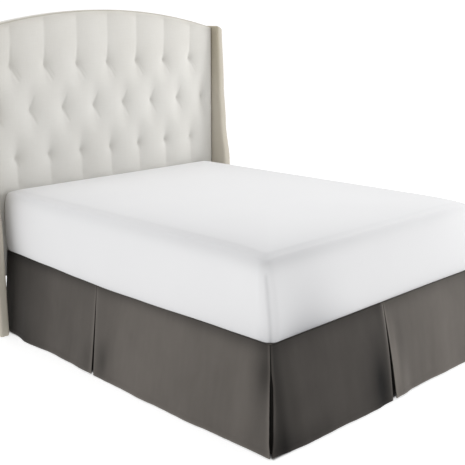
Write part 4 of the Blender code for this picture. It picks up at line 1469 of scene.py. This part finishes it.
class BEDSKIRT_OT_stage(bpy.types.Operator):
    """Sets the pale floor, the soft lights and the camera"""
    bl_idname = "bedskirt.stage"
    bl_label = "Studio"

    def execute(self, context):
        settings = context.scene.studio
        scene = context.scene
        marks = spaced(-FLOOR_REACH, FLOOR_REACH, FLOOR_CELLS)
        points = [(x, y - BED_SHIFT_Y, 0.0) for y in marks for x in marks]
        floor = new_piece("studio_floor", points, grid_faces(len(marks), len(marks)),
                          finish("opal_floor", opal_floor, settings))
        for soft in SOFT_LIGHTS:
            lamp = bpy.data.lights.new(soft.name, "AREA")
            lamp.shape = "SQUARE"
            lamp.size = soft.size
            lamp.energy = soft.watts * settings.light
            holder = bpy.data.objects.new(soft.name, lamp)
            holder.location = soft.place
            way = Vector(soft.target) - Vector(soft.place)
            holder.rotation_euler = way.to_track_quat("-Z", "Y").to_euler()
            scene.collection.objects.link(holder)
        world = scene.world or bpy.data.worlds.new("studio_air")
        scene.world = world
        world.use_nodes = True
        tree = world.node_tree
        air = tree.nodes["Background"]
        way = node(tree, "ShaderNodeTexCoord", out="Generated")
        parts = node(tree, "ShaderNodeSeparateXYZ", {"Vector": way}).outputs
        links = {"Value": parts["Y"], "From Min": 0.1, "From Max": -0.9}
        dim = node(tree, "ShaderNodeMapRange", links, "Result", interpolation_type="SMOOTHSTEP")
        links = {"Value": parts["X"], "From Min": 0.1, "From Max": 0.8, "To Max": 1.3}
        beside = node(tree, "ShaderNodeMapRange", links, "Result", interpolation_type="SMOOTHSTEP")
        dim = node(tree, "ShaderNodeMath", {0: dim, 1: beside}, 0, operation="MAXIMUM")
        links = {0: dim, 6: (*AIR_BRIGHT, 1.0), 7: (*AIR_DIM, 1.0)}
        cast = node(tree, "ShaderNodeMix", links, 2, data_type="RGBA", clamp_factor=False)
        looked_at = node(tree, "ShaderNodeLightPath", out="Is Camera Ray")
        links = {0: looked_at, 6: cast, 7: (*AIR_WHITE, 1.0)}
        tree.links.new(node(tree, "ShaderNodeMix", links, 2, data_type="RGBA"), air.inputs["Color"])
        air.inputs["Strength"].default_value = settings.light
        scene.view_settings.view_transform = "Standard"
        lens = bpy.data.cameras.new("studio_camera")
        lens.sensor_width = 36.0
        lens.lens = CAMERA_LENS
        lens.clip_end = 200.0
        camera = bpy.data.objects.new("studio_camera", lens)
        yaw, pitch = math.radians(CAMERA_YAW), math.radians(CAMERA_PITCH)
        way = Vector((-math.sin(yaw) * math.cos(pitch), math.cos(yaw) * math.cos(pitch), -math.sin(pitch)))
        camera.location = Vector(CAMERA_PLACE) + Vector((0.0, BED_SHIFT_Y, 0.0))
        camera.rotation_euler = way.to_track_quat("-Z", "Y").to_euler()
        scene.collection.objects.link(camera)
        scene.camera = camera
        return {"FINISHED"}


OPERATORS = (
    BEDSKIRT_OT_stage,
    BEDSKIRT_OT_drops,
    BEDSKIRT_OT_inserts,
    BEDSKIRT_OT_deck,
    BEDSKIRT_OT_sheet,
    BEDSKIRT_OT_mattress,
    BEDSKIRT_OT_box_spring,
    BEDSKIRT_OT_headboard,
    BEDSKIRT_OT_wings,
    BEDSKIRT_OT_frame_finish,
)
SETTINGS = (
    ("bed_skirt", SkirtSettings),
    ("bedding", BeddingSettings),
    ("headboard", HeadboardSettings),
    ("studio", StageSettings),
)


class BEDSKIRT_PT_panel(bpy.types.Panel):
    """Lists the bed skirt's pieces and settings"""
    bl_idname = "BEDSKIRT_PT_panel"
    bl_label = "Bed skirt"
    bl_space_type = "VIEW_3D"
    bl_region_type = "UI"
    bl_category = "Bed skirt"

    def draw(self, context):
        for operator in OPERATORS:
            self.layout.operator(operator.bl_idname)
        for name, group in SETTINGS:
            values = getattr(context.scene, name)
            for key in group.__annotations__:
                self.layout.prop(values, key)


def register():
    for name, group in SETTINGS:
        bpy.utils.register_class(group)
        setattr(bpy.types.Scene, name, bpy.props.PointerProperty(type=group))
    for kind in (*OPERATORS, BEDSKIRT_PT_panel):
        bpy.utils.register_class(kind)


def unregister():
    for kind in (BEDSKIRT_PT_panel, *reversed(OPERATORS)):
        bpy.utils.unregister_class(kind)
    for name, group in reversed(SETTINGS):
        delattr(bpy.types.Scene, name)
        bpy.utils.unregister_class(group)


def main():
    register()
    for operator in OPERATORS:
        group, name = operator.bl_idname.split(".")
        getattr(getattr(bpy.ops, group), name)()


if __name__ == "__main__":
    main()
